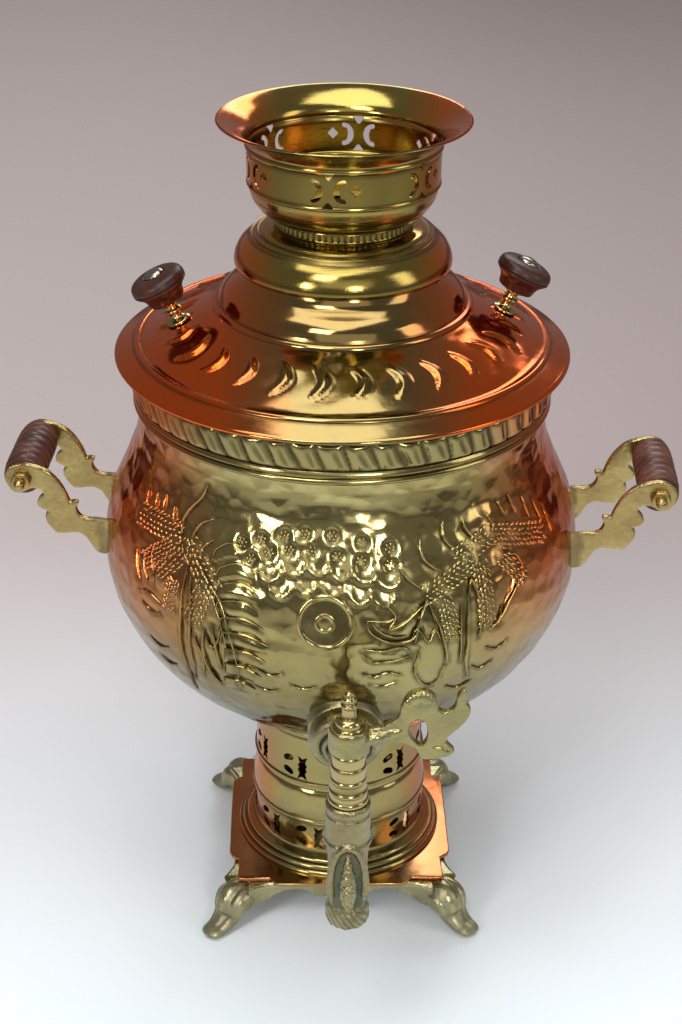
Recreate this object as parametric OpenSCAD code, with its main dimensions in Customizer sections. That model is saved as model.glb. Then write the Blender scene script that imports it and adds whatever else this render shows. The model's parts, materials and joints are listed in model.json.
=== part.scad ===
// Charcoal samovar: a hammered brass urn on a pierced stand, with a lift-off lid, a crown and a plug tap.
// Origin: on the table, at the middle of the whole object's plan. The tap points to -Y, the handles
// lie along X.

/* [Body] */
// Largest diameter of the belly
belly_d = 259.6; // [220:1:320]
// Height of the belly, from the stand to the collar
belly_h = 188; // [150:1:240]
// Diameter of the mouth, where the belly meets the collar
mouth_d = 218; // [190:1:240]
// Diameter of the belly's foot, where it meets the stand
neck_d = 94; // [84:1:110]
// Thickness of the body sheet
sheet = 1.6; // [1:0.1:3]
// Height of the collar ring under the lid
collar_h = 30; // [24:0.2:40]
// Diameter of the embossed roundel above the tap
roundel_d = 29; // [20:1:40]
// How far the roundel stands to the left of the tap, in degrees
roundel_turn = 4.8; // [0:0.1:10]

/* [Stand] */
// Height of the feet, up to the top of the base plate
foot_h = 29.4; // [22:0.2:45]
// Half width of the base plate at its corners
plate_half = 59.3; // [50:0.1:75]
// How far the middle of each side of the plate stands out
plate_bulge = 5.5; // [0:0.5:10]
// Height of the lower pierced tier
lower_h = 55.2; // [48:0.2:75]
// Height of the upper pierced tier
upper_h = 36.6; // [30:0.2:55]
// Number of slot groups round the lower tier
lower_slots = 11; // [8:1:14]
// Number of slot groups round the upper tier
upper_slots = 10; // [8:1:13]

/* [Lid] */
// Diameter of the lid
lid_d = 240; // [226:1:280]
// Slope of the lid, in degrees
lid_slope = 25.2; // [15:0.1:35]
// Thickness of the lid sheet
lid_sheet = 1.2; // [0.8:0.1:2.5]
// How far the lid and its knobs are turned from square to the tap, in degrees
lid_turn = 5; // [-20:1:20]
// Diameter of the lid knobs
knob_d = 29.6; // [22:0.2:40]

/* [Crown] */
// Diameter of the crown's flared rim
crown_d = 129; // [110:1:150]
// Diameter of the crown's pierced wall
bowl_d = 98.4; // [84:0.2:106]
// Height of the crown's bowl
bowl_h = 49; // [40:0.5:70]
// Number of pierced windows round the crown
windows = 6; // [4:1:8]
// Diameter of the dome under the crown
dome_d = 113; // [106:1:124]

/* [Fire tube] */
// Diameter of the fire tube at its foot
tube_foot_d = 79; // [66:1:84]
// Diameter of the fire tube at its top
tube_top_d = 54.4; // [50:0.2:56]

/* [Handles] */
// How far the grip's middle stands out from the belly
handle_reach = 41; // [34:1:60]
// How far the grip's middle lies below the mouth
handle_drop = 43.1; // [30:0.1:60]
// Length of the grip
grip_l = 50; // [40:1:80]
// Diameter of the grip
grip_d = 22; // [18:0.5:28]
// Thickness of each cast bracket plate
bracket_t = 3.6; // [2.5:0.1:6]
// How far the pair of handles is turned from square to the tap, in degrees
handle_turn = -4; // [-15:1:15]

/* [Tap] */
// How far the tap's plug stands out from the belly
tap_reach = 48; // [38:1:70]
// Height of the tap's rim above the table
tap_rim_z = 173.5; // [160:0.5:185]
// Downward slope of the tap pipe, in degrees
tap_slope = 13; // [5:1:20]
// Outer radius of the tap barrel
barrel_r = 11.2; // [10:0.1:14]
// Radius of the tap plug at the rim
plug_r = 7.4; // [6.4:0.1:8]
// Running clearance of the plug in the barrel
plug_gap = 0.05; // [0.02:0.01:0.1]
// Length of the plug inside the barrel
plug_l = 26; // [22:0.5:32]
// Radius of the waterway
water_r = 4; // [3:0.1:4.4]

/* [Hidden] */
$fn = 96;
seat = 0.2;       // gap between two pieces that are soldered or screwed together
rest_gap = 0.3;   // gap between a resting piece and its seat
belly_r = belly_d / 2;
mouth_r = mouth_d / 2;
neck_r = neck_d / 2;
lower_z = foot_h + seat;
upper_z = lower_z + lower_h + seat;
belly_z = upper_z + upper_h + seat;
mouth_z = belly_z + belly_h;
collar_z = mouth_z + seat;
lid_r = lid_d / 2;
lid_k = tan(lid_slope);
slope_lift = lid_sheet / cos(lid_slope);
collar_top_r = mouth_r + 3.8;
lid_z = collar_z + collar_h + rest_gap + slope_lift - (lid_r - collar_top_r) * lid_k;
cone_top_r = 68.5;
cone_top_z = lid_z + (lid_r - cone_top_r) * lid_k;
neck_top_z = cone_top_z + 24.6;
tube_top_z = neck_top_z + 9;
dome_z = cone_top_z + 21.6;
dome_r = dome_d / 2;
ring_z = dome_z + 21.9;
bowl_z = ring_z + 5.2;
bowl_r = bowl_d / 2;
crown_r = crown_d / 2;
hook_r = belly_r + handle_reach;
hook_z = mouth_z - handle_drop;
rod_r = 2.5;
plate_y = grip_l / 2 + seat;
tap_y = belly_r + tap_reach;
pipe_z = tap_rim_z - 12;
pipe_r = 9;
spout_z = tap_rim_z - 69;
spout_lean = 5.5;
middle_y = (tap_y + spout_lean + 10.9 - belly_r) / 2;
knob_seat_r = 85.6;
knob_seat_z = lid_z + (lid_r - knob_seat_r) * lid_k;

// colours
polished = [0.80, 0.62, 0.26];
golden = [0.86, 0.66, 0.22];
cast = [0.60, 0.52, 0.27];
dark_wood = [0.20, 0.08, 0.06];
silver = [0.80, 0.80, 0.80];
soot = [0.30, 0.24, 0.14];

// helpers
function slope_at(p, i) = p[min(i + 1, len(p) - 1)] - p[max(i - 1, 0)];
function out(p, i) = [slope_at(p, i)[1], -slope_at(p, i)[0]] / norm(slope_at(p, i));
function grown(p, t) = [for (i = [0:len(p) - 1]) p[i] + t * out(p, i)];
function shell(p, t) = concat(p, [for (i = [len(p) - 1:-1:0]) p[i] - t * out(p, i)]);
function both(p) = concat(p, [for (i = [len(p) - 1:-1:0]) [-p[i][0], p[i][1]]]);
function bend(a, b, c, d, t) = 0.5 * (2 * b + (c - a) * t + (2 * a - 5 * b + 4 * c - d) * t * t
    + (3 * b - a - 3 * c + d) * t * t * t);
function smooth(p, n) = [for (i = [0:len(p) - 1], k = [0:n - 1])
    bend(p[(i + len(p) - 1) % len(p)], p[i], p[(i + 1) % len(p)], p[(i + 2) % len(p)], k / n)];
function rows(p, r0, r1, z0, z1) = [for (q = p) [r0 + (r1 - r0) * q[0], z0 + (z1 - z0) * q[1]]];
function shift(p, r, z) = [for (q = p) [q[0] + r, q[1] + z]];

// Profile of the belly, from its foot to its mouth: share of the radius, share of the height
belly_low = [[0, 0], [0.024, 0.011], [0.060, 0.034], [0.109, 0.059], [0.160, 0.085], [0.254, 0.129],
    [0.345, 0.179], [0.471, 0.248], [0.582, 0.324], [0.698, 0.416], [0.797, 0.517], [0.882, 0.633],
    [0.947, 0.759], [0.986, 0.879], [1, 1]];
belly_high = [[0.962, 0.154], [0.861, 0.296], [0.688, 0.414], [0.471, 0.533], [0.260, 0.651],
    [0.096, 0.757], [0.014, 0.852], [-0.010, 0.923], [0, 1]];
wide_z = belly_z + 0.55 * belly_h;
belly_line = concat(rows(belly_low, neck_r, belly_r, belly_z, wide_z),
    rows(belly_high, mouth_r, belly_r, wide_z, mouth_z));
function wall_at(z) = lookup(z, [for (p = belly_line) [p[1], p[0]]]);
pipe_rise = 14;   // how much higher the tap pipe stands at the belly than at the plug
pipe_wall = (tap_y - wall_at(pipe_z + pipe_rise)) / cos(tap_slope);

module placed() translate([0, middle_y, 0]) children();
module turned(p) rotate_extrude() polygon(p);
module sheet_ring(p, t) turned(shell(p, t));
module belly_solid(gap) turned(concat([[0, belly_line[0][1] - 30]], [[neck_r + gap, belly_z - 30]],
    grown(belly_line, gap), [[mouth_r + gap, mouth_z + 5], [0, mouth_z + 5]]));
module belly_inside(gap) turned(concat([[0, belly_z - 5]], [[neck_r - sheet - gap, belly_z - 5]],
    grown(belly_line, -sheet - gap), [[0, mouth_z]]));
module around(count, first) for (i = [0:count - 1]) rotate([0, 0, first + i * 360 / count]) children();
module radial_cut(r, z) translate([0, -r + 6, z]) rotate([90, 0, 0]) linear_extrude(12) children();

// outlines of the pierced holes, drawn as they are seen from outside
module bean() polygon(smooth([[-3.1, 0.9], [-1.6, 2.1], [0.6, 1.7], [2.6, 0.5], [3.1, -1.0], [1.9, -2.0],
    [0, -1.5], [-2.1, -0.9]], 3));
module bean_pair() {
    translate([0, 4.3]) mirror([1, 0]) bean();
    translate([0, -4.3]) bean();
}
module bone() polygon(both([[0, 6.0], [1.5, 6.9], [3.1, 7.7], [2.3, 5.2], [1.9, 3.2], [3.0, 1.7], [2.1, 0],
    [3.0, -1.7], [1.9, -3.2], [2.3, -5.2], [3.1, -7.7], [1.5, -6.9], [0, -6.0]]));
module hook_slot() polygon(smooth([[-2.6, 6.2], [0.4, 5.2], [2.3, 2.8], [2.9, 0], [2.3, -2.8], [0.4, -5.2],
    [-2.6, -6.2], [-3.4, -4.6], [-2.2, -3.3], [-1.2, -3.3], [-0.5, -1.6], [-0.3, 0], [-0.5, 1.6],
    [-1.2, 3.3], [-2.2, 3.3], [-3.4, 4.6]], 2));
module window() {
    translate([-5.4, 0]) hook_slot();
    translate([5.4, 0]) mirror([1, 0]) hook_slot();
    polygon([[-3.3, 9.6], [3.3, 9.6], [0.6, 5.6], [-0.6, 5.6]]);
    polygon([[-3.3, -9.6], [3.3, -9.6], [0.6, -5.4], [-0.6, -5.4]]);
    translate([13.4, 0.6]) polygon([[-2.9, 0], [0, 3.2], [2.9, 0], [0, -3.2]]);
}

// outline of the base plate, with the middle of each side standing out
plate_side = plate_half + plate_bulge;
side_line = [[-plate_half, -plate_half], [-plate_half + 5, -plate_half - 0.2], [-41, -plate_half + 0.4],
    [-37.5, -plate_side + 1.2], [-34, -plate_side], [-17, -plate_side - 0.1], [0, -plate_side - 0.2],
    [17, -plate_side - 0.1], [34, -plate_side], [37.5, -plate_side + 1.2], [41, -plate_half + 0.4],
    [plate_half - 5, -plate_half - 0.2]];
function quarter(p, a) = [for (q = p) [q[0] * cos(a) - q[1] * sin(a), q[0] * sin(a) + q[1] * cos(a)]];
plan_line = concat(side_line, quarter(side_line, 90), quarter(side_line, 180), quarter(side_line, 270));

module base_plate() color(polished) placed() {
    translate([0, 0, foot_h - 2.4]) linear_extrude(1.4) polygon(plan_line);
    translate([0, 0, foot_h - 1]) linear_extrude(1) offset(delta = -0.8) polygon(plan_line);
}

// cast frame under the plate: a wall on each side with two arches and a tab between them
frame_top = foot_h - 2.4 - seat;
arch_line = [[0, frame_top], [46, frame_top], [46, frame_top - 15.6], [43.5, frame_top - 15.2],
    [40, frame_top - 12.6], [36, frame_top - 8.6], [31, frame_top - 5.6], [26, frame_top - 4.6],
    [21, frame_top - 5.0], [17.6, frame_top - 7.4], [14.6, frame_top - 9.6], [0, frame_top - 10.0]];
module side_wall() {
    translate([0, -plate_half + 2.6, 0]) rotate([90, 0, 0]) linear_extrude(2.4) polygon(both(arch_line));
    intersection() {
        translate([0, -plate_half + 0.2, 0]) rotate([90, 0, 0]) linear_extrude(plate_bulge)
            polygon(both(arch_line));
        translate([0, 0, -1]) linear_extrude(foot_h) offset(delta = -0.6) polygon(plan_line);
        translate([-38, -plate_side, 0]) cube([76, 12, foot_h]);
    }
}
module foot_frame() color(cast) placed() difference() {
    union() {
        around(4, 0) side_wall();
        translate([0, 0, frame_top - 2.2]) linear_extrude(2.2) difference() {
            offset(delta = -2) polygon(plan_line);
            circle(r = 45);
        }
    }
    around(4, 45) translate([77 - seat, -40, -1]) cube([60, 80, foot_h + 2]);
}

// one cast foot: s runs outwards along the diagonal
foot_side = [[77, frame_top], [83, frame_top], [89, frame_top + 0.1], [92.6, frame_top - 1.8],
    [94.2, frame_top - 5.4], [94.0, frame_top - 9.4], [94.6, frame_top - 13.4], [96.6, 9.4], [99.6, 6.4],
    [103.0, 4.8], [106.4, 4.9], [108.8, 3.8], [109.4, 2.1], [108.4, 0.5], [106, -0.6], [102.5, -0.6],
    [99, -0.5], [95.4, 1.2], [91.8, 3.4], [88.4, 6.6], [85.0, 9.0], [81, frame_top - 15.8],
    [77, frame_top - 15.6]];
foot_front = [[4.4, -0.1], [5.6, 1.6], [6.2, 4], [8.4, 8], [10.4, 12], [11.2, 16], [10.6, 20], [9.0, 24],
    [8.2, frame_top]];
module foot_rib(w, wide, grow) translate([0, w + wide / 2, 0]) rotate([90, 0, 0]) linear_extrude(wide)
    offset(r = grow) polygon(smooth(foot_side, 2));
module foot(a) color(cast) placed() rotate([0, 0, a]) intersection() {
    union() {
        translate([0, 15, 0]) rotate([90, 0, 0]) linear_extrude(30) polygon(smooth(foot_side, 3));
        foot_rib(0, 2.6, 1.3);
        foot_rib(-5.2, 1.8, 0.8);
        foot_rib(5.2, 1.8, 0.8);
    }
    translate([70, 0, 0]) rotate([90, 0, 90]) linear_extrude(50) polygon(both(foot_front));
    translate([77, -20, 0]) cube([45, 40, frame_top]);
}
module foot_front_left() foot(-135);
module foot_front_right() foot(-45);
module foot_back_left() foot(135);
module foot_back_right() foot(45);

// stand: two pierced tiers
lower_r = neck_r + 3.4;
lower_line = concat(shift([[9.3, 0], [9.5, 1.4], [8.2, 2.7], [7.3, 2.9], [7.0, 4.3], [5.8, 5.4], [4.4, 5.6],
    [4.1, 6.9], [2.8, 7.9], [1.2, 8.7], [-0.6, 10.4]], lower_r, lower_z),
    shift([[0, 29.4], [0.5, 30.1], [0.5, 31.2], [-0.1, 32], [0.1, 35], [-0.1, 39], [-0.9, 43.4],
        [-2.1, 48.6], [-3.4, lower_h - 4], [-3.4, lower_h - 1.9], [-2.9, lower_h - 1.3],
    [-1.0, lower_h - 1.3]], lower_r, lower_z));
module stand_lower() color(polished) placed() difference() {
    sheet_ring(lower_line, 1.3);
    around(lower_slots, 14.4 - 29) radial_cut(lower_r, lower_z + 19.8) bone();
    around(lower_slots, 35 - 29) radial_cut(lower_r, lower_z + 19.8) bean_pair();
}
upper_r = neck_r + 1.6;
upper_line = shift([[1.0, 0], [1.1, 1.2], [0.3, 1.9], [0, 4], [-0.6, 24], [-0.9, upper_h - 6.4],
    [-0.4, upper_h - 5.4], [-0.3, upper_h - 3.8], [-0.9, upper_h - 2.8], [-1.1, upper_h - 1.4],
    [-1.4, upper_h]], upper_r, upper_z);
module stand_upper() color(polished) placed() difference() {
    sheet_ring(upper_line, 1.3);
    around(upper_slots, 9) radial_cut(upper_r, upper_z + 10.2) bone();
    around(upper_slots, -2) radial_cut(upper_r, upper_z + 10.2) bean_pair();
}

// belly, with the plain embossed roundel above the tap
roundel_z = wide_z + 18;
module roundel() intersection() {
    difference() {
        belly_solid(0.9);
        belly_solid(-0.2);
    }
    translate([0, 0, roundel_z]) rotate([90, 0, -roundel_turn]) difference() {
        cylinder(h = belly_r + 10, r = roundel_d / 2);
        translate([0, 0, belly_r - 20]) difference() {
            cylinder(h = 30, r = roundel_d / 2 - 1.4);
            translate([0, 0, -1]) cylinder(h = 32, r = roundel_d / 2 - 3.2);
        }
    }
}
module pipe_way(r, l) translate([0, -tap_y, pipe_z]) rotate([-90 + tap_slope, 0, 0]) cylinder(h = l, r = r);
module belly() color(polished) placed() difference() {
    union() {
        sheet_ring(belly_line, sheet);
        roundel();
    }
    pipe_way(water_r + 1.2, pipe_wall + 20);
}
module belly_floor() color(soot) placed() intersection() {
    translate([0, 0, belly_z + 3.4]) difference() {
        cylinder(h = 1.4, r = belly_r);
        translate([0, 0, -1]) cylinder(h = 4, r = tube_foot_d / 2 + seat);
    }
    belly_inside(seat);
}
collar_line = concat(shift([[0.6, 0], [1.9, 0.8], [2.4, 2.0], [1.9, 3.2], [1.0, 3.8], [1.6, 4.4],
    [2.2, 5.4], [1.8, 6.6], [1.3, 7.4], [2.2, 11], [3.4, collar_h - 7], [3.8, collar_h - 5.6],
    [4.6, collar_h - 4.8], [4.8, collar_h - 3.8], [4.2, collar_h - 2.7],
    [3.8, collar_h - 2]], mouth_r, collar_z), [[collar_top_r, collar_z + collar_h]]);
module collar() color(polished) placed() difference() {
    sheet_ring(collar_line, 1.4);
    around(60, 2) translate([0, -mouth_r - 4.6, collar_z + 15.2]) rotate([0, 24, 0])
        translate([0, 0, -6.2]) cylinder(h = 12.4, r = 2.3, $fn = 20);
}

// fire tube, standing through the body
tube_foot_r = tube_foot_d / 2;
tube_top_r = tube_top_d / 2;
tube_z = belly_z - 19;
tube_line = rows([[1, 0], [1, 0.085], [0.9, 0.16], [0.55, 0.33], [0.25, 0.54], [0.04, 0.78], [0, 0.9],
    [0, 1]], tube_top_r, tube_foot_r, tube_z, tube_top_z);
module fire_tube() color(soot) placed() {
    sheet_ring(tube_line, 1.4);
    translate([0, 0, tube_z]) difference() {
        cylinder(h = 1.6, r = tube_foot_r - 1);
        translate([0, 0, -1]) cylinder(h = 4, r = tube_foot_r - 4);
    }
}
grate_r = tube_foot_r - 1.4 - 0.4;
module grate() color(soot) placed() translate([0, 0, tube_z + 1.6 + seat]) difference() {
    cylinder(h = 3, r = grate_r);
    for (i = [-3:3]) {
        reach = sqrt(pow(grate_r - 5, 2) - pow(i * 9, 2));
        translate([i * 9 - 2, -reach, -1]) cube([4, 2 * reach, 5]);
    }
}

// handles: two scrolled plates, a turned grip between them, a rod and two nuts
module by_side(side) rotate([0, 0, handle_turn + (side > 0 ? 0 : 180)]) children();
hook_line = [[8.9, 0.4], [8.0, 4.9], [4.6, 8.0], [0, 9.4], [-4.8, 9.0], [-9.6, 7.6], [-14.3, 5.4],
    [-17.3, 2.6], [-20.2, -1.0], [-22.8, -5.6], [-24.6, -10.0], [-25.3, -13.2], [-26.9, -12.2],
    [-29.6, -12.2], [-29.8, -14.0], [-28.6, -15.6], [-29.2, -18.6], [-31.4, -21.6], [-35.4, -22.6],
    [-42.2, -22.9], [-56, -23.2], [-56, -44.7], [-42.1, -44.2], [-38.8, -43.0], [-36.2, -39.2],
    [-33.0, -33.6], [-24.6, -31.6], [-17.6, -32.0], [-15.0, -29.6], [-12.2, -25.6], [-11.6, -21.0],
    [-13.4, -18.5], [-9.8, -17.2], [-7.6, -14.8], [-8.6, -10.9], [-11.6, -8.0], [-9.2, -5.6],
    [-4.8, -5.3], [-1.6, -7.0], [2.0, -8.2], [6.0, -6.4]];
module bracket(side, front) color(cast) placed() difference() {
    by_side(side) union() {
        translate([hook_r, (front ? -plate_y : plate_y + bracket_t), hook_z]) rotate([90, 0, 0])
            difference() {
                linear_extrude(bracket_t) offset(r = 0.5) offset(delta = -0.5) polygon(hook_line);
                translate([0, 0, -1]) cylinder(h = bracket_t + 2, r = rod_r + seat);
            }
        translate([belly_r - 22, (front ? -plate_y - bracket_t / 2 : plate_y + bracket_t / 2), hook_z - 34])
            rotate([0, 90, 0]) scale([1, 0.5, 1]) cylinder(h = 22, r1 = 11.4, r2 = 7.6);
    }
    belly_solid(seat);
}
module bracket_left_front() bracket(-1, false);
module bracket_left_back() bracket(-1, true);
module bracket_right_front() bracket(1, true);
module bracket_right_back() bracket(1, false);

grip_r = grip_d / 2;
grip_half = [[rod_r + 0.3, 0], [grip_r - 1.4, 0], [grip_r - 0.8, 0.7], [grip_r - 0.7, 3.0],
    [grip_r - 1.5, 3.6], [grip_r - 1.5, 4.4], [grip_r - 0.4, 5.2], [grip_r - 0.1, 9.6],
    [grip_r - 1.1, 10.3], [grip_r - 1.1, 11.1], [grip_r - 0.1, 11.9], [grip_r, 16.4],
    [grip_r - 1, 17.1], [grip_r - 1, 17.9], [grip_r, 18.7], [grip_r, grip_l / 2 - 1],
    [grip_r - 0.9, grip_l / 2 - 0.4], [grip_r - 0.9, grip_l / 2]];
grip_line = concat(grip_half,
    [for (i = [len(grip_half) - 2:-1:0]) [grip_half[i][0], grip_l - grip_half[i][1]]]);
module grip(side) color(dark_wood) placed() by_side(side)
    translate([hook_r, grip_l / 2, hook_z]) rotate([90, 0, 0]) turned(grip_line);
module grip_left() grip(-1);
module grip_right() grip(1);
rod_half = plate_y + bracket_t + seat + 5.8;
module rod(side) color(cast) placed() by_side(side) translate([hook_r, 0, hook_z]) rotate([90, 0, 0]) {
    translate([0, 0, -rod_half]) cylinder(h = 2 * rod_half, r = rod_r);
    translate([0, 0, rod_half]) sphere(r = 3.1);
    translate([0, 0, -rod_half]) sphere(r = 3.1);
}
module rod_left() rod(-1);
module rod_right() rod(1);
module hex_nut(r, hole, h) difference() {
    intersection() {
        cylinder(h = h, r = r, $fn = 6);
        cylinder(h = h, r1 = r, r2 = r - 0.9);
    }
    translate([0, 0, -1]) cylinder(h = h + 2, r = hole);
}
module handle_nuts() color(cast) placed() for (side = [-1, 1], tilt = [-90, 90])
    by_side(side) translate([hook_r, 0, hook_z]) rotate([tilt, 0, 0])
        translate([0, 0, plate_y + bracket_t + seat]) hex_nut(5.6, rod_r + 0.05, 3.8);

// tap: flange, cast body with pipe, barrel and spout, and the key
flange_line = [[pipe_r + 0.3, -20], [pipe_r + 0.3, 32], [13.5, 32], [15.6, 31.2], [17.4, 29.4],
    [18.6, 26.8], [19.2, 24], [19.4, -20]];
module tap_flange() color(cast) placed() difference() {
    translate([0, -tap_y, pipe_z]) rotate([-90 + tap_slope, 0, 0]) translate([0, 0, pipe_wall + 12.4])
        mirror([0, 0, 1]) turned(flange_line);
    belly_solid(seat);
}
spout_top = tap_rim_z - 24;
lip_z = spout_z + 15;
spout_tilt = atan(spout_lean / (spout_top - lip_z));
lip_line = [[0, 0], [9.6, 0], [10.4, 0.8], [10.9, 3], [10.9, 8], [10.4, 11.4], [9.6, 14.2], [0, 17]];
barrel_line = [[0, -30], [9.4, -30], [barrel_r - 0.4, -26], [barrel_r, -22], [barrel_r, -7],
    [barrel_r - 0.5, -5.6], [barrel_r - 0.2, -3.4], [barrel_r + 0.1, -2], [barrel_r - 0.3, -0.4],
    [barrel_r - 0.8, 0], [0, 0]];
plug_foot_r = plug_r - 1.3;
module spout_rib(x, z, l, r, lean) translate([x, -spout_lean * 0.45 - 9.4, z]) rotate([4, lean, 0]) {
    cylinder(h = l, r = r);
    sphere(r = r);
    translate([0, 0, l]) sphere(r = r);
}
module tap_body() color(cast) placed() translate([0, -tap_y, 0]) difference() {
    union() {
        translate([0, 0, tap_rim_z]) turned(barrel_line);
        difference() {
            translate([0, 0, pipe_z]) rotate([-90 + tap_slope, 0, 0])
                cylinder(h = pipe_wall + 20, r = pipe_r);
            translate([0, tap_y, 0]) belly_solid(seat);
        }
        translate([0, 0, spout_top]) rotate([180 - spout_tilt, 0, 0])
            cylinder(h = (spout_top - lip_z) / cos(spout_tilt), r1 = barrel_r - 0.3, r2 = 10);
        translate([0, -spout_lean, spout_z]) turned(lip_line);
        spout_rib(0, lip_z + 7, 24, 2.6, 0);
        spout_rib(-6.4, lip_z + 9, 24, 1.9, -5);
        spout_rib(6.4, lip_z + 9, 24, 1.9, 5);
    }
    translate([0, 0, tap_rim_z - plug_l]) cylinder(h = plug_l + 0.01, r1 = plug_foot_r, r2 = plug_r);
    translate([0, 0, tap_rim_z]) cylinder(h = 20, r = barrel_r);
    translate([0, 0, pipe_z]) rotate([-90 + tap_slope, 0, 0]) cylinder(h = pipe_wall + 26, r = water_r + 1);
    translate([0, 0, tap_rim_z - plug_l + 1]) rotate([180 - spout_tilt, 0, 0])
        cylinder(h = 60, r = water_r + 0.6);
}
column_line = [[9.7, 0.3], [9.9, 2.4], [9.3, 3.2], [9.1, 6.2], [9.5, 6.9], [9.5, 8.0], [8.9, 8.8],
    [8.3, 12.6], [8.7, 13.3], [8.7, 14.4], [8.1, 15.2], [8.9, 19.4], [8.6, 21.6], [7.8, 22.2],
    [8.4, 26.4], [8.2, 28.4], [7.4, 29.2], [7.1, 41.2], [7.5, 42.0], [7.4, 43.4], [6.4, 44.6],
    [6.7, 45.6], [6.4, 46.8], [5.0, 48.2], [3.7, 48.8], [3.6, 54.4], [4.0, 55.0], [3.9, 55.8],
    [3.3, 56.4], [3.2, 57.6], [3.6, 58.2], [3.4, 59.2], [2.7, 60.0], [2.4, 61.6], [1.6, 62.6], [0, 63]];
module key_plug() color(golden) placed() translate([0, -tap_y, tap_rim_z]) difference() {
    turned(concat([[0, -plug_l + 1], [plug_foot_r - plug_gap, -plug_l + 1], [plug_r - plug_gap, 0.3]],
        column_line));
    translate([0, 0, -plug_l]) cylinder(h = plug_l - 8, r = water_r);
    translate([0, 0, pipe_z - tap_rim_z]) rotate([0, -90, 0]) cylinder(h = 20, r = water_r - 0.4);
}
key_line = [[7.0, 42.3], [14.4, 42.8], [19.3, 45.4], [23.6, 49.0], [24.8, 55.4], [27.2, 60.2], [30.8, 62.9],
    [35.3, 63.8], [39.0, 62.2], [41.3, 58.5], [42.2, 53.6], [45.3, 51.6], [48.6, 53.1], [50.7, 57.1],
    [51.2, 61.0], [54.0, 64.2], [55.4, 62.8], [55.5, 57.4], [57.6, 53.2], [56.4, 47.8], [52.5, 42.7],
    [47.9, 38.0], [46.3, 35.2], [48.3, 32.6], [50.7, 29.6], [49.4, 27.2], [44.5, 25.5], [36.0, 24.6],
    [33.6, 27.6], [31.8, 31.0], [26.1, 34.0], [19.5, 34.6], [11.0, 32.6], [7.0, 30.8]];
key_eye = [[27.9, 42.5], [30.0, 46.5], [33.2, 48.0], [36.2, 46.1], [37.4, 41.6], [37.2, 36.0], [34.9, 32.9],
    [32.0, 34.4], [29.2, 38.4]];
module fan_rib(a) translate([34, 0, 55]) rotate([0, a, 0]) translate([0, 0, 1]) cylinder(h = 7.6, r = 0.8);
module key_handle() color(cast) placed() translate([0, -tap_y, tap_rim_z]) difference() {
    union() {
        translate([0, 2, 0]) rotate([90, 0, 0]) linear_extrude(4) difference() {
            offset(r = 0.5) offset(delta = -0.5) polygon(key_line);
            polygon(smooth(key_eye, 2));
        }
        translate([0, 0, 36.8]) rotate([0, 90, 0]) translate([0, 0, 6])
            cylinder(h = 13, r1 = 5.0, r2 = 3.4);
        for (s = [-1.9, 0, 1.9], a = [-60:20:50]) translate([0, s, 0]) fan_rib(a);
    }
    translate([0, 0, 24]) cylinder(h = 50, r = 7.5 + 0.2);
}

// lid, with a spigot inside the collar
lid_line = concat([[lid_r - 0.9, lid_z - 2.2], [lid_r, lid_z - 1.2], [lid_r - 0.1, lid_z]],
    [for (q = [[-9.6, 0], [-10.6, 0.7], [-11.8, 1.1], [-13.0, 0.6], [-14, 0]])
        [lid_r + q[0], lid_z - q[0] * lid_k + q[1]]],
    [[cone_top_r, cone_top_z], [cone_top_r - 0.6, cone_top_z + 1.3], [cone_top_r - 1.8, cone_top_z + 2.4],
    [cone_top_r - 3.1, cone_top_z + 2.8]],
    shift([[-4.0, 4.8], [-6.0, 8.3], [-9.1, 11.4], [-12.6, 14.0], [-15.5, 16.6], [-17.3, 19.8],
        [-18.0, 22.8], [-19.5, 24.2], [-22, 24.6]], cone_top_r, cone_top_z),
    [[tube_top_r + 2.2, neck_top_z]]);
module at_knob(side) rotate([0, 0, lid_turn + (side > 0 ? 0 : 180)])
    translate([knob_seat_r, 0, knob_seat_z])
    rotate([0, lid_slope, 0]) children();
module lid() color(polished) placed() difference() {
    sheet_ring(lid_line, lid_sheet);
    for (side = [-1, 1]) at_knob(side) translate([0, 0, -8]) cylinder(h = 16, r = 2.3);
}
spigot_r = mouth_r + 0.8;
module lid_spigot() color(polished) placed() difference() {
    cylinder_z = collar_z + collar_h - 12;
    translate([0, 0, cylinder_z]) cylinder(h = 40, r = spigot_r);
    translate([0, 0, cylinder_z - 1]) cylinder(h = 60, r = spigot_r - 1.2);
    turned([[0, lid_z + lid_r * lid_k - slope_lift - seat],
        [lid_r, lid_z - slope_lift - seat], [lid_r, lid_z + 60], [0, lid_z + lid_r * lid_k + 60]]);
}
stem_line = [[0, -6.4], [2.0, -6.4], [2.0, 0.3], [6.4, 0.3], [6.6, 1.4], [5.2, 2.4], [3.5, 3.2], [3.1, 4.6],
    [3.3, 6.0], [4.6, 6.8], [4.7, 7.9], [3.4, 8.8], [3.3, 10.4], [4.4, 11.6], [5.2, 12.0], [5.2, 12.9],
    [2.4, 12.9], [2.4, 22], [0, 22]];
module knob_stem(side) color(golden) placed() at_knob(side) turned(stem_line);
module knob_stem_left() knob_stem(-1);
module knob_stem_right() knob_stem(1);
knob_r = knob_d / 2;
knob_line = [[0, 22.3], [2.7, 22.3], [2.7, 13.1], [6.9, 13.1], [7.4, 13.9], [7.2, 15.2], [8.2, 16.6],
    [11.2, 18.8], [knob_r - 1.2, 20.4], [knob_r, 22.2], [knob_r, 24.8], [knob_r - 0.6, 26.6],
    [knob_r - 2, 27.8], [knob_r - 4, 28.7], [6.2, 29.2], [5.8, 28.8], [5.8, 26.9], [0, 26.9]];
module knob(side) color(dark_wood) placed() at_knob(side) turned(knob_line);
module knob_left() knob(-1);
module knob_right() knob(1);
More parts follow.
